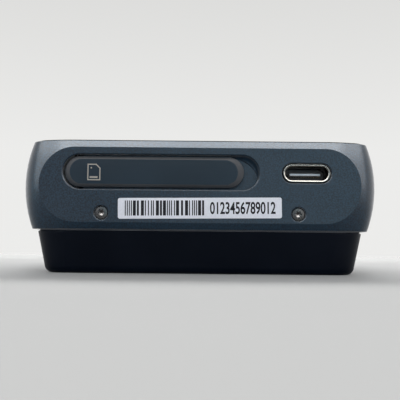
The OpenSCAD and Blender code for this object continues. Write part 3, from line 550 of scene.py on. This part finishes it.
slider_low, slider_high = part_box("hold_slider")
ridge_middle = ((slider_low.y + slider_high.y) / 2, (slider_low.z + slider_high.z) / 2)
# Each ridge is a half round bar whose section swells from a point, and closes under the slider's face.
ridge_count = 5
ridge_pitch = 0.0006
ridge_half = (0.00016, 0.00075)
ridge_height = 0.00008
ridge_sunk = 0.00002
ridge_tuck = 0.2
ridge_place = ridge_pitch * (np.arange(ridge_count) - (ridge_count - 1) / 2)[:, None, None]
ridge_run = np.linspace(-1.0, 1.0, 17)[None, :, None]
ridge_turn = np.linspace(-ridge_tuck, math.pi + ridge_tuck, 13)[None, None, :]
ridge_swell = np.sqrt(1.0 - ridge_run ** 6)
ridge_x = slider_low.x + ridge_sunk - ridge_height * ridge_swell * np.sin(ridge_turn)
ridge_y = ridge_middle[0] + ridge_place + ridge_half[0] * ridge_swell * np.cos(ridge_turn)
ridge_z = ridge_middle[1] + ridge_half[1] * ridge_run
ridge_points = np.stack(np.broadcast_arrays(ridge_x, ridge_y, ridge_z), -1)
ridges = make_piece("hold_ridges", [shell_of(points, True) for points in ridge_points], key_finish)
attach(ridges, "hold_slider")


# Front. A black cover glass with eased edges, bonded with black tape over the display on its carrier.
# The display is off, so its window shows only as a slightly bluer field inside the black border.
def black_glass(name, half_window, radius):
    """Glass printed black behind: the distance from a rounded box on Object coordinates parts the
    window from the border, and faint smears vary the polish."""
    border = (0.003, 0.003, 0.004)
    window = (0.008, 0.009, 0.013)
    blur_in = 0.00015
    blur_out = 0.00005
    smear_cells = 45.0
    smear_height = 0.0000004
    edge_ease = 0.00012
    finish = new_finish(name, border, rough=0.1)
    nodes = finish.node_tree.nodes
    links = finish.node_tree.links
    place = nodes.new("ShaderNodeTexCoord")
    split = nodes.new("ShaderNodeSeparateXYZ")
    links.new(place.outputs["Object"], split.inputs["Vector"])
    reach = nodes.new("ShaderNodeCombineXYZ")
    for axis, half in zip(("X", "Y"), half_window):
        size = reckon(finish, "ABSOLUTE", split.outputs[axis])
        past = reckon(finish, "SUBTRACT", size, half - radius)
        links.new(reckon(finish, "MAXIMUM", past, 0.0), reach.inputs[axis])
    length = nodes.new("ShaderNodeVectorMath")
    length.operation = "LENGTH"
    links.new(reach.outputs["Vector"], length.inputs[0])
    inside = spread(finish, length.outputs["Value"], radius - blur_in, radius + blur_out, 1.0, 0.0)
    drive(finish, "Base Color", mix_colours(finish, inside, border, window))
    smear = object_noise(finish, smear_cells, detail=4.0)
    drive(finish, "Roughness", spread(finish, smear, 0.3, 0.75, 0.08, 0.14))
    grain_bump(finish, smear, smear_height, edge_round=edge_ease)
    return finish


window_half = (0.0265, 0.0455)
window_corner = 0.0015
tape_black = (0.012, 0.012, 0.012)
cell_dark = (0.01, 0.011, 0.015)
tape_finish = moulded_plastic("glass_tape_black", tape_black, rough=0.7, cells=1200.0, height=0.000004)
cell_finish = moulded_plastic("display_dark_cell", cell_dark, rough=0.2, cells=900.0, height=0.000001)
coat_node("front_glass", black_glass("front_glass_black", window_half, window_corner))
coat_node("glass_tape", tape_finish)
coat_node("display_panel", cell_finish)


# Nail scoop. The recess beyond the free end of the card door is run out with a round nosed cutter.
# Its upper and outer wall meets the floor in a hollow, which narrows to nothing at both ends.
def scoop_hollow(turn_centre, radius, run, last_turn, width, rim, floor):
    """A filler along the wall of a half round recess: a straight run, then the arc down to the last
    turn. Its section is a quarter ellipse, hollow between rim and floor, as wide as the row of widths.
    Where the width is nothing, the section closes to a point on the floor."""
    nothing = 1e-9
    arc = np.linspace(math.pi / 2, last_turn, len(width) - len(run))
    along_x = np.concatenate([run, turn_centre[0] + radius * np.cos(arc)])
    along_z = turn_centre[1] + np.concatenate([np.full(len(run), radius), radius * np.sin(arc)])
    in_x = np.concatenate([np.zeros(len(run)), -np.cos(arc)])
    in_z = np.concatenate([np.full(len(run), -1.0), -np.sin(arc)])
    bend = np.linspace(0.0, math.pi / 2, 12)
    inward = width[:, None] * np.concatenate([1.0 - np.cos(bend), [0.0]])[None]
    rise = np.where(width > nothing, rim - floor, 0.0)
    y = floor + rise[:, None] * np.concatenate([1.0 - np.sin(bend), [0.0]])[None]
    x = along_x[:, None] + in_x[:, None] * inward
    z = along_z[:, None] + in_z[:, None] * inward
    return shell_of(np.stack([x, y, z], -1), True)


recess_turn = (0.008075, 0.01965)
scoop_radius = 0.003355
scoop_run = np.linspace(0.0058, 0.008, 12)
scoop_last_turn = -0.4
scoop_widest = 0.0012
scoop_lean = 0.9
scoop_fullness = 0.8
scoop_share = np.linspace(0.0, 1.0, 60) ** scoop_lean
scoop_width = scoop_widest * np.sin(math.pi * scoop_share) ** scoop_fullness
scoop_rim = -0.0593
scoop_floor = -0.057905
scoop_shell = scoop_hollow(
    recess_turn, scoop_radius, scoop_run, scoop_last_turn, scoop_width, scoop_rim, scoop_floor
)
scoop = make_piece("nail_scoop", [scoop_shell], chassis_finish)
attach(scoop, "housing")


# Card door. A flap moulded in slate plastic, with a bevelled face that slopes further at its free end,
# a hinge barrel on a steel pin, and a rib behind that plugs the card mouth.
def bar_outline(left, right, half, arc_points, run_points):
    """Outline of a bar with half round ends: right arc, upper run, left arc, lower run, in x and z."""
    turn = np.linspace(-math.pi / 2, math.pi / 2, arc_points)
    run = np.linspace(0.0, 1.0, run_points)[1:-1]
    right_arc = np.stack([right - half + half * np.cos(turn), half * np.sin(turn)], 1)
    left_arc = np.stack([left + half - half * np.cos(turn), -half * np.sin(turn)], 1)
    upper = np.stack([right - half + run * (left - right + 2 * half), np.full(len(run), half)], 1)
    lower = np.stack([left + half - run * (left - right + 2 * half), np.full(len(run), -half)], 1)
    return np.concatenate([right_arc, upper, left_arc, lower])


def eased_corner(before, corner, after, steps):
    """Quadratic curve from one point to another that bends at the corner between them."""
    t = np.linspace(0.0, 1.0, steps)[:, None]
    points = [np.array(p)[None, :] for p in (before, corner, after)]
    return (1 - t) ** 2 * points[0] + 2 * t * (1 - t) * points[1] + t ** 2 * points[2]


door_low, door_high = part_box("card_door")
door_left = door_low.x
door_right = door_high.x
door_middle = (door_low.z + door_high.z) / 2
door_half = (door_high.z - door_low.z) / 2
door_face = door_low.y
door_thick = 0.0013
door_edge = 0.0004
side_bevel = 0.0005
hinge_bevel = 0.0009
free_bevel = 0.0013
outer = bar_outline(door_left, door_right, door_half, 49, 24)
inner = bar_outline(door_left + hinge_bevel, door_right - free_bevel, door_half - side_bevel, 49, 24)
# The profile runs in share of the bevel and depth behind the face: back edge, wall, then the two
# eased edges of the bevel, each from a point before its corner to a point after it.
profile = np.concatenate([
    [[0.0, door_thick]],
    eased_corner((0.0, 1.3 * door_edge), (0.0, door_edge), (0.18, 0.82 * door_edge), 6),
    eased_corner((0.8, 0.2 * door_edge), (1.0, 0.0), (1.25, 0.0), 6),
])
share = profile[:, 0][:, None, None]
wall = (1.0 - share) * outer[None] + share * inner[None]
depth = profile[:, 1]
middle_line = np.array([1.0, 0.0])
rows = np.concatenate([wall[:1] * middle_line, wall, wall[-1:] * middle_line])
depth = np.concatenate([depth[:1], depth, depth[-1:]])
door_y = np.broadcast_to(door_face + depth[:, None], rows.shape[:2])
door_shell = shell_of(np.stack([rows[..., 0], door_y, door_middle + rows[..., 1]], -1), True)

hinge = [joint for joint in frame["joints"] if joint["name"] == "card_door_hinge"][0]
barrel_radius = 0.00085
barrel_bore = 0.00045
barrel_half = 0.0024
barrel_ease = 0.0001
barrel_profile = np.array([
    [barrel_bore, -barrel_half], [barrel_radius - barrel_ease, -barrel_half],
    [barrel_radius, barrel_ease - barrel_half], [barrel_radius, barrel_half - barrel_ease],
    [barrel_radius - barrel_ease, barrel_half], [barrel_bore, barrel_half], [barrel_bore, -barrel_half],
])
barrel_ring = unit_ring(48)
barrel_x = hinge["pos_m"][0] + barrel_profile[:, :1] * barrel_ring[None, :, 0]
barrel_y = hinge["pos_m"][1] + barrel_profile[:, :1] * barrel_ring[None, :, 1]
barrel_z = hinge["pos_m"][2] + np.broadcast_to(barrel_profile[:, 1:], barrel_x.shape)
barrel_shell = shell_of(np.stack([barrel_x, barrel_y, barrel_z], -1), True)

rib_half = (0.0121, 0.001)
rib_middle = (-0.0085, door_middle)
rib_corner = 0.0003
rib_ease = 0.00015
rib_tip = (0.9876, 0.85)
rib_overlap = 0.0001
rib_root = door_face + door_thick - rib_overlap
rib_outline = round_outline(*rib_half, rib_corner, arc_points=6)
rib_scale = np.array([(0.0, 0.0), (1.0, 1.0), (1.0, 1.0), rib_tip, (rib_tip[0], 0.0)])
rib_flat = rib_outline[None] * rib_scale[:, None, :]
rib_depth = np.array([rib_root, rib_root, door_high.y - rib_ease, door_high.y, door_high.y])
rib_x = rib_middle[0] + rib_flat[..., 0]
rib_y = np.broadcast_to(rib_depth[:, None], rib_x.shape)
rib_z = rib_middle[1] + rib_flat[..., 1]
rib_shell = shell_of(np.stack([rib_x, rib_y, rib_z], -1), True)

door_slate = (0.009, 0.022, 0.035)
# The bevel's paler grey is a painted highlight: a lighter copy of the door's slate plastic on its tilted
# faces.
bevel_highlight_slate = (0.043, 0.046, 0.051)
door_finish = moulded_plastic(
    "card_door_slate", door_slate, rough=0.37, cells=3200.0, height=0.000004, gloss=0.15
)
bevel_highlight_finish = moulded_plastic(
    "card_door_bevel_painted_highlight", bevel_highlight_slate, rough=0.5, cells=3200.0, height=0.000003, gloss=0.12
)
door = make_piece("card_door_flap", [door_shell, barrel_shell, rib_shell], door_finish)
door.data.materials.append(bevel_highlight_finish)
door_quads = door.data.polygons
facing = np.empty(3 * len(door_quads))
door_quads.foreach_get("normal", facing)
middles = np.empty(3 * len(door_quads))
door_quads.foreach_get("center", middles)
# A face is on the bevel if it is near the front and neither side on nor square to it.
side_on = 0.2
square_on = 0.985
front_share = -facing[1::3]
near_front = middles[1::3] < door_face + door_edge
on_highlit_bevel = near_front & (front_share > side_on) & (front_share < square_on)
# These bevel faces take the paler finish, the painted highlight.
door_quads.foreach_set("material_index", on_highlit_bevel.astype(np.int32))
coat_node("card_door_pin", rolled_steel("hinge_pin_black_oxide", (0.012, 0.012, 0.013), rough=0.45))
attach(door, "card_door")
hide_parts("card_door")


# Card sign. The outline of a memory card with its cut corner, a dot and a bar, printed in pale grey
# ink on the door face near the hinge.
def end_face_band(outside, inside, front, back):
    """A flat band between two outlines of equal count on the port end, closed on all sides."""
    rows = np.stack([outside, outside, inside, inside, outside])
    y = np.array([back, front, front, back, back])
    spread_y = np.broadcast_to(y[:, None], rows.shape[:2])
    return shell_of(np.stack([rows[..., 0], spread_y, rows[..., 1]], -1), True)


ink = 0.000012
sign_half = (0.00126, 0.0016)
sign_line = 0.00021
sign_cut = 0.0008
sign_drop = 0.00014
sign_middle = (-0.0205, door_middle - sign_drop)


def card_corners(inset):
    """Five corners of the card outline moved in by an inset: the cut corner is at the upper right,
    and each leg of its slanted cut gets shorter by two minus root two of the inset."""
    cut_share = 0.586
    w = sign_half[0] - inset
    h = sign_half[1] - inset
    cut = sign_cut - cut_share * inset
    flat = np.array([[-w, -h], [w, -h], [w, h - cut], [w - cut, h], [-w, h]])
    return flat + np.array(sign_middle)


ink_pale = (0.28, 0.26, 0.22)
ink_finish = moulded_plastic("sign_ink_pale", ink_pale, rough=0.55, cells=3000.0, height=0.000002)
ink_front = door_face - ink
ink_back = door_face + ink
dot_radius = 0.00016
dot_left = 0.00052
dot_up = 0.00082
dot_middle = np.array([sign_middle[0] - dot_left, sign_middle[1] + dot_up])
dot_rim = dot_middle + dot_radius * unit_ring(16)
dot_core = np.broadcast_to(dot_middle, dot_rim.shape)
bar_left = 0.00082
bar_right = 0.00072
bar_bottom = 0.00115
bar_top = 0.00082
bar_low = (sign_middle[0] - bar_left, ink_front, sign_middle[1] - bar_bottom)
bar_high = (sign_middle[0] + bar_right, ink_back, sign_middle[1] - bar_top)
card_sign = make_piece(
    "card_sign",
    [
        end_face_band(card_corners(0.0), card_corners(sign_line), ink_front, ink_back),
        end_face_band(dot_rim, dot_core, ink_front, ink_back),
        box_row(bar_low, bar_high),
    ],
    ink_finish,
)
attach(card_sign, "card_door")


# Serial label. A white paper sticker on the lower half of the port end, stuck on slightly askew.
# Its print is generic: bars whose widths follow a counting rule, and the digits in running order.
label_low, label_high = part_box("serial_label")
label_half = ((label_high.x - label_low.x) / 2, (label_high.z - label_low.z) / 2)
label_lift = 0.00012
label_place = ((label_high.x + label_low.x) / 2, (label_high.z + label_low.z) / 2 + label_lift)
label_turn = math.radians(0.7)


def on_label(points):
    """Points drawn on an upright label, as x, y and z from its middle, turned askew and put in place."""
    lean = math.sin(label_turn)
    rest = math.cos(label_turn)
    x = label_place[0] + points[:, 0] * rest - points[:, 2] * lean
    z = label_place[1] + points[:, 0] * lean + points[:, 2] * rest
    return np.stack([x, points[:, 1], z], 1)


paper_dark = (0.73, 0.75, 0.82)
paper_pale = (0.81, 0.83, 0.89)
fibre_cells = 2500.0
fibre_height = 0.000003
label_finish = new_finish("label_white_paper", paper_pale, rough=0.5, gloss=0.2)
fibres = object_noise(label_finish, fibre_cells, detail=3.0)
fibre_tone = mix_colours(label_finish, spread(label_finish, fibres, 0.3, 0.7), paper_dark, paper_pale)
drive(label_finish, "Base Color", fibre_tone)
grain_bump(label_finish, fibres, fibre_height)
label_corner = 0.0004
label_ease = 0.00002
label_outline = round_outline(*label_half, label_corner, arc_points=8)
paper_points, paper_quads = end_plate(label_outline, (0.0, 0.0), label_low.y, label_high.y, label_ease)
paper = make_piece("label_paper", [(on_label(paper_points), paper_quads)], label_finish)
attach(paper, "housing")
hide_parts("serial_label")

toner_dark = (0.01, 0.01, 0.013)
toner_pale = (0.022, 0.022, 0.027)
toner_cells = 4000.0
toner_proud = 0.000008
toner_sunk = 0.00001
print_finish = new_finish("label_black_print", toner_pale, rough=0.5, gloss=0.08)
toner = spread(print_finish, object_noise(print_finish, toner_cells), 0.35, 0.65)
drive(print_finish, "Base Color", mix_colours(print_finish, toner, toner_dark, toner_pale))
print_front = label_low.y - toner_proud
print_back = label_low.y + toner_sunk

# Bars and gaps are counted in whole units: each width is the rest of a square rule in the bar's number.
bar_count = 27
bar_number = np.arange(bar_count)
bar_width = 1.0 + (3 * bar_number * bar_number + 5 * bar_number) % 7 // 2
gap_width = 1.0 + (2 * bar_number * bar_number + 3 * bar_number) % 11 // 6
bar_start = np.cumsum(bar_width + gap_width) - bar_width - gap_width
bars_run = 0.01522
bars_margin = 0.00135
bars_foot = 0.0006
bars_head = 0.0005
toner_gain = 0.02
bar_unit = bars_run / (bar_start[-1] + bar_width[-1])
bar_spread = toner_gain * bar_unit
bar_x = bars_margin - label_half[0] + bar_unit * bar_start
bar_points, bar_quads = box_row(
    (bar_x - bar_spread, print_front, bars_foot - label_half[1]),
    (bar_x + bar_unit * bar_width + bar_spread, print_back, label_half[1] - bars_head),
)
bars = make_piece("label_bars", [(on_label(bar_points), bar_quads)], print_finish)
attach(bars, "housing")

digit_text = bpy.data.curves.new("label_digits_text", "FONT")
digit_text.body = "0123456789012"
digit_text.extrude = 0.5
digit_text.offset = 0.021
digit_source = bpy.data.objects.new("label_digits_source", digit_text)
bpy.context.scene.collection.objects.link(digit_source)
bpy.context.view_layer.update()
digit_shape = digit_source.evaluated_get(bpy.context.evaluated_depsgraph_get())
digit_mesh = bpy.data.meshes.new_from_object(digit_shape)
bpy.data.objects.remove(digit_source)
flat_digits = np.empty(3 * len(digit_mesh.vertices))
digit_mesh.vertices.foreach_get("co", flat_digits)
flat_digits = flat_digits.reshape(-1, 3)
flat_digits -= flat_digits.min(axis=0)
flat_digits /= flat_digits.max(axis=0)
digit_start = 0.0177
digit_margin = 0.0012
digit_foot = 0.0008
digit_left = digit_start - label_half[0]
digit_right = label_half[0] - digit_margin
digit_bottom = digit_foot - label_half[1]
digit_top = label_half[1] - digit_foot
placed = on_label(np.stack([
    digit_left + flat_digits[:, 0] * (digit_right - digit_left),
    print_back + flat_digits[:, 2] * (print_front - print_back),
    digit_bottom + flat_digits[:, 1] * (digit_top - digit_bottom),
], 1))
digit_mesh.vertices.foreach_set("co", placed.ravel())
digit_mesh.update()
digit_mesh.materials.clear()
digit_mesh.materials.append(print_finish)
digits = bpy.data.objects.new("label_digits", digit_mesh)
bpy.context.scene.collection.objects.link(digits)
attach(digits, "housing")


# End screws. Two hardened steel screws with a six lobe socket, sunk in counterbores.
# They hold the back cover to the chassis.
coat_node("end_screws", rolled_steel("end_screw_steel", (0.085, 0.08, 0.077), rough=0.27, cells=2600.0))


# Floor. A plain pale sheet under the recorder, which keeps its shadow.
# It is solid near the recorder and fades out further off, so that it has no edge in the background.
floor_reach = 1.5
floor_steps = 9
fade_start = 0.06
fade_end = 0.36
floor_line = np.linspace(-floor_reach, floor_reach, floor_steps)
floor_points = np.stack(np.meshgrid(floor_line, floor_line, [0.0]), -1)
floor_shell = shell_of(floor_points.reshape(floor_steps, floor_steps, 3), False)
floor_finish = new_finish("floor_pale", (0.64, 0.64, 0.63), rough=0.9, gloss=0.1)
floor_nodes = floor_finish.node_tree.nodes
floor_links = floor_finish.node_tree.links
floor_place = floor_nodes.new("ShaderNodeTexCoord")
floor_distance = floor_nodes.new("ShaderNodeVectorMath")
floor_distance.operation = "LENGTH"
floor_links.new(floor_place.outputs["Object"], floor_distance.inputs[0])
floor_fade = spread(floor_finish, floor_distance.outputs["Value"], fade_start, fade_end)
floor_clear = floor_nodes.new("ShaderNodeBsdfTransparent")
floor_mix = floor_nodes.new("ShaderNodeMixShader")
floor_links.new(floor_fade, floor_mix.inputs["Fac"])
floor_links.new(floor_nodes["Principled BSDF"].outputs["BSDF"], floor_mix.inputs[1])
floor_links.new(floor_clear.outputs["BSDF"], floor_mix.inputs[2])
floor_links.new(floor_mix.outputs["Shader"], floor_nodes["Material Output"].inputs["Surface"])
floor = make_piece("floor", [floor_shell], floor_finish)


# Lamps. One wide soft lamp lights the recorder from above and behind.
# The strips and boxes show only as reflections, on every piece but the front glass.
clear_of_glass = bpy.data.collections.new("clear_of_glass")
clear_of_glass.objects.link(frame["nodes"]["front_glass"])
clear_of_glass.collection_objects[0].light_linking.link_state = "EXCLUDE"


def soft_lamp(name, place, aim, width, height, power, mirrored_only=False):
    """A rectangular soft lamp at a place, turned towards a point. The mirrored kind shows only as a
    reflection, and is kept off the large front glass, where it would be a white patch."""
    lamp = bpy.data.lights.new(name, "AREA")
    lamp.shape = "RECTANGLE"
    lamp.size = width
    lamp.size_y = height
    lamp.energy = power
    holder = bpy.data.objects.new(name, lamp)
    holder.location = place
    way = np.array(aim) - np.array(place)
    tilt = math.atan2(math.hypot(way[0], way[1]), -way[2])
    swing = math.atan2(way[1], way[0]) - math.pi / 2
    holder.rotation_euler = (tilt, 0.0, swing)
    holder.visible_camera = False
    holder.visible_diffuse = not mirrored_only
    if mirrored_only:
        holder.light_linking.receiver_collection = clear_of_glass
    bpy.context.scene.collection.objects.link(holder)


soft_lamp("lamp_over", (0.0, 0.46, 0.46), (0.0, 0.0, 0.0), width=0.6, height=0.2, power=4.2)
soft_lamp(
    "strip_over", (0.0, -0.07, 0.5), (0.0, -0.06, 0.02),
    width=0.5, height=0.15, power=1.5, mirrored_only=True,
)
soft_lamp(
    "strip_front", (0.0, -0.358, 0.362), (0.0, -0.0595, 0.025),
    width=0.5, height=0.2, power=4.6, mirrored_only=True,
)
for side in (-1.0, 1.0):
    soft_lamp(
        "strip_side", (0.36 * side, -0.22, 0.36), (0.032 * side, -0.055, 0.022),
        width=0.36, height=0.22, power=1.0, mirrored_only=True,
    )
    soft_lamp(
        "side_box", (0.334 * side, -0.293, 0.21), (0.032 * side, -0.055, 0.018),
        width=0.33, height=0.36, power=1.3, mirrored_only=True,
    )


# Sky. The studio round the recorder, in three parts: the light that falls on it, what the camera sees
# behind it, and what metal and glass mirror.
world = bpy.data.worlds.new("studio")
world.use_nodes = True
bpy.context.scene.world = world
sky_nodes = world.node_tree.nodes
sky_links = world.node_tree.links
sky_fill = sky_nodes["Background"]
sky_fill.inputs["Color"].default_value = (0.95, 0.97, 1.0, 1.0)
sky_pale = sky_nodes.new("ShaderNodeBackground")
sky_pale.inputs["Color"].default_value = (1.0, 1.0, 0.985, 1.0)
sky_place = sky_nodes.new("ShaderNodeTexCoord")
sky_split = sky_nodes.new("ShaderNodeSeparateXYZ")
sky_links.new(sky_place.outputs["Generated"], sky_split.inputs["Vector"])
sky_height = sky_split.outputs["Z"]
# The light that falls on the recorder: an even fill, and a wide low light from the front.
even_fill = 0.25
from_front = spread(world, sky_split.outputs["Y"], -0.9, -0.3, 3.8, 0.0)
above_floor = spread(world, sky_height, 0.0, 0.05)
below_lamps = spread(world, sky_height, 0.15, 0.4, 1.0, 0.0)
from_low = reckon(world, "MULTIPLY", above_floor, below_lamps)
front_fill = reckon(world, "MULTIPLY", from_front, from_low)
sky_links.new(reckon(world, "ADD", front_fill, even_fill), sky_fill.inputs["Strength"])
# What the camera sees: an even pale studio, a little dimmer high up.
sky_tone = spread(world, sky_height, 0.14, 0.36, 0.84, 0.725)
sky_links.new(sky_tone, sky_pale.inputs["Strength"])
# What metal and glass mirror: the same studio, but dimmer below and dimmer and bluer in front.
sky_mirrored = sky_nodes.new("ShaderNodeBackground")
sky_below = spread(world, sky_height, -0.5, -0.1, 0.4, 1.6)
sky_links.new(reckon(world, "MULTIPLY", sky_tone, sky_below), sky_mirrored.inputs["Strength"])
sky_turn = sky_nodes.new("ShaderNodeVectorMath")
sky_turn.operation = "DOT_PRODUCT"
sky_turn.inputs[1].default_value = (0.5, 0.866, 0.0)
sky_links.new(sky_place.outputs["Generated"], sky_turn.inputs[0])
sky_ramp = sky_nodes.new("ShaderNodeValToRGB")
sky_links.new(spread(world, sky_turn.outputs["Value"], -1.0, 1.0), sky_ramp.inputs["Fac"])
sky_stops = sky_ramp.color_ramp.elements
sky_stops[0].color = (0.32, 0.38, 0.46, 1.0)
sky_stops[1].color = (1.0, 1.0, 1.0, 1.0)
mirrored_stops = (
    (0.07, (0.56, 0.72, 0.84)),
    (0.13, (0.62, 0.98, 1.15)),
    (0.22, (0.7, 0.76, 0.8)),
    (0.4, (1.0, 1.0, 1.0)),
)
for stop_place, stop_colour in mirrored_stops:
    stop = sky_stops.new(stop_place)
    stop.color = (*stop_colour, 1.0)
sky_links.new(sky_ramp.outputs["Color"], sky_mirrored.inputs["Color"])

sky_path = sky_nodes.new("ShaderNodeLightPath")
camera_ray = sky_path.outputs["Is Camera Ray"]
glossy_ray = sky_path.outputs["Is Glossy Ray"]
clear_ray = sky_path.outputs["Is Transmission Ray"]
mirrored_ray = reckon(world, "MAXIMUM", glossy_ray, clear_ray)
sky_so_far = sky_fill.outputs["Background"]
for ray, light in ((mirrored_ray, sky_mirrored), (camera_ray, sky_pale)):
    sky_mix = sky_nodes.new("ShaderNodeMixShader")
    sky_links.new(ray, sky_mix.inputs["Fac"])
    sky_links.new(sky_so_far, sky_mix.inputs[1])
    sky_links.new(light.outputs["Background"], sky_mix.inputs[2])
    sky_so_far = sky_mix.outputs["Shader"]
sky_links.new(sky_so_far, sky_nodes["World Output"].inputs["Surface"])


# Camera. It stands low in front of the port end and looks slightly up at it, as the photograph does.
# Its focal length is counted in pixels of a picture 400 pixels wide.
picture_width = 400.0
focal_length = 657.6
sensor_width = 36.0
look_up = math.radians(4.2)
camera_roll = -0.0098
camera_swing = -0.0007
camera_data = bpy.data.cameras.new("camera")
camera_data.sensor_width = sensor_width
camera_data.lens = sensor_width * focal_length / picture_width
camera_data.clip_start = 0.002
camera = bpy.data.objects.new("camera", camera_data)
camera.location = (0.00002, -0.1856, 0.00503)
camera.rotation_euler = (math.pi / 2 + look_up, camera_roll, camera_swing)
bpy.context.scene.collection.objects.link(camera)
bpy.context.scene.camera = camera
bpy.context.scene.view_settings.view_transform = "Standard"
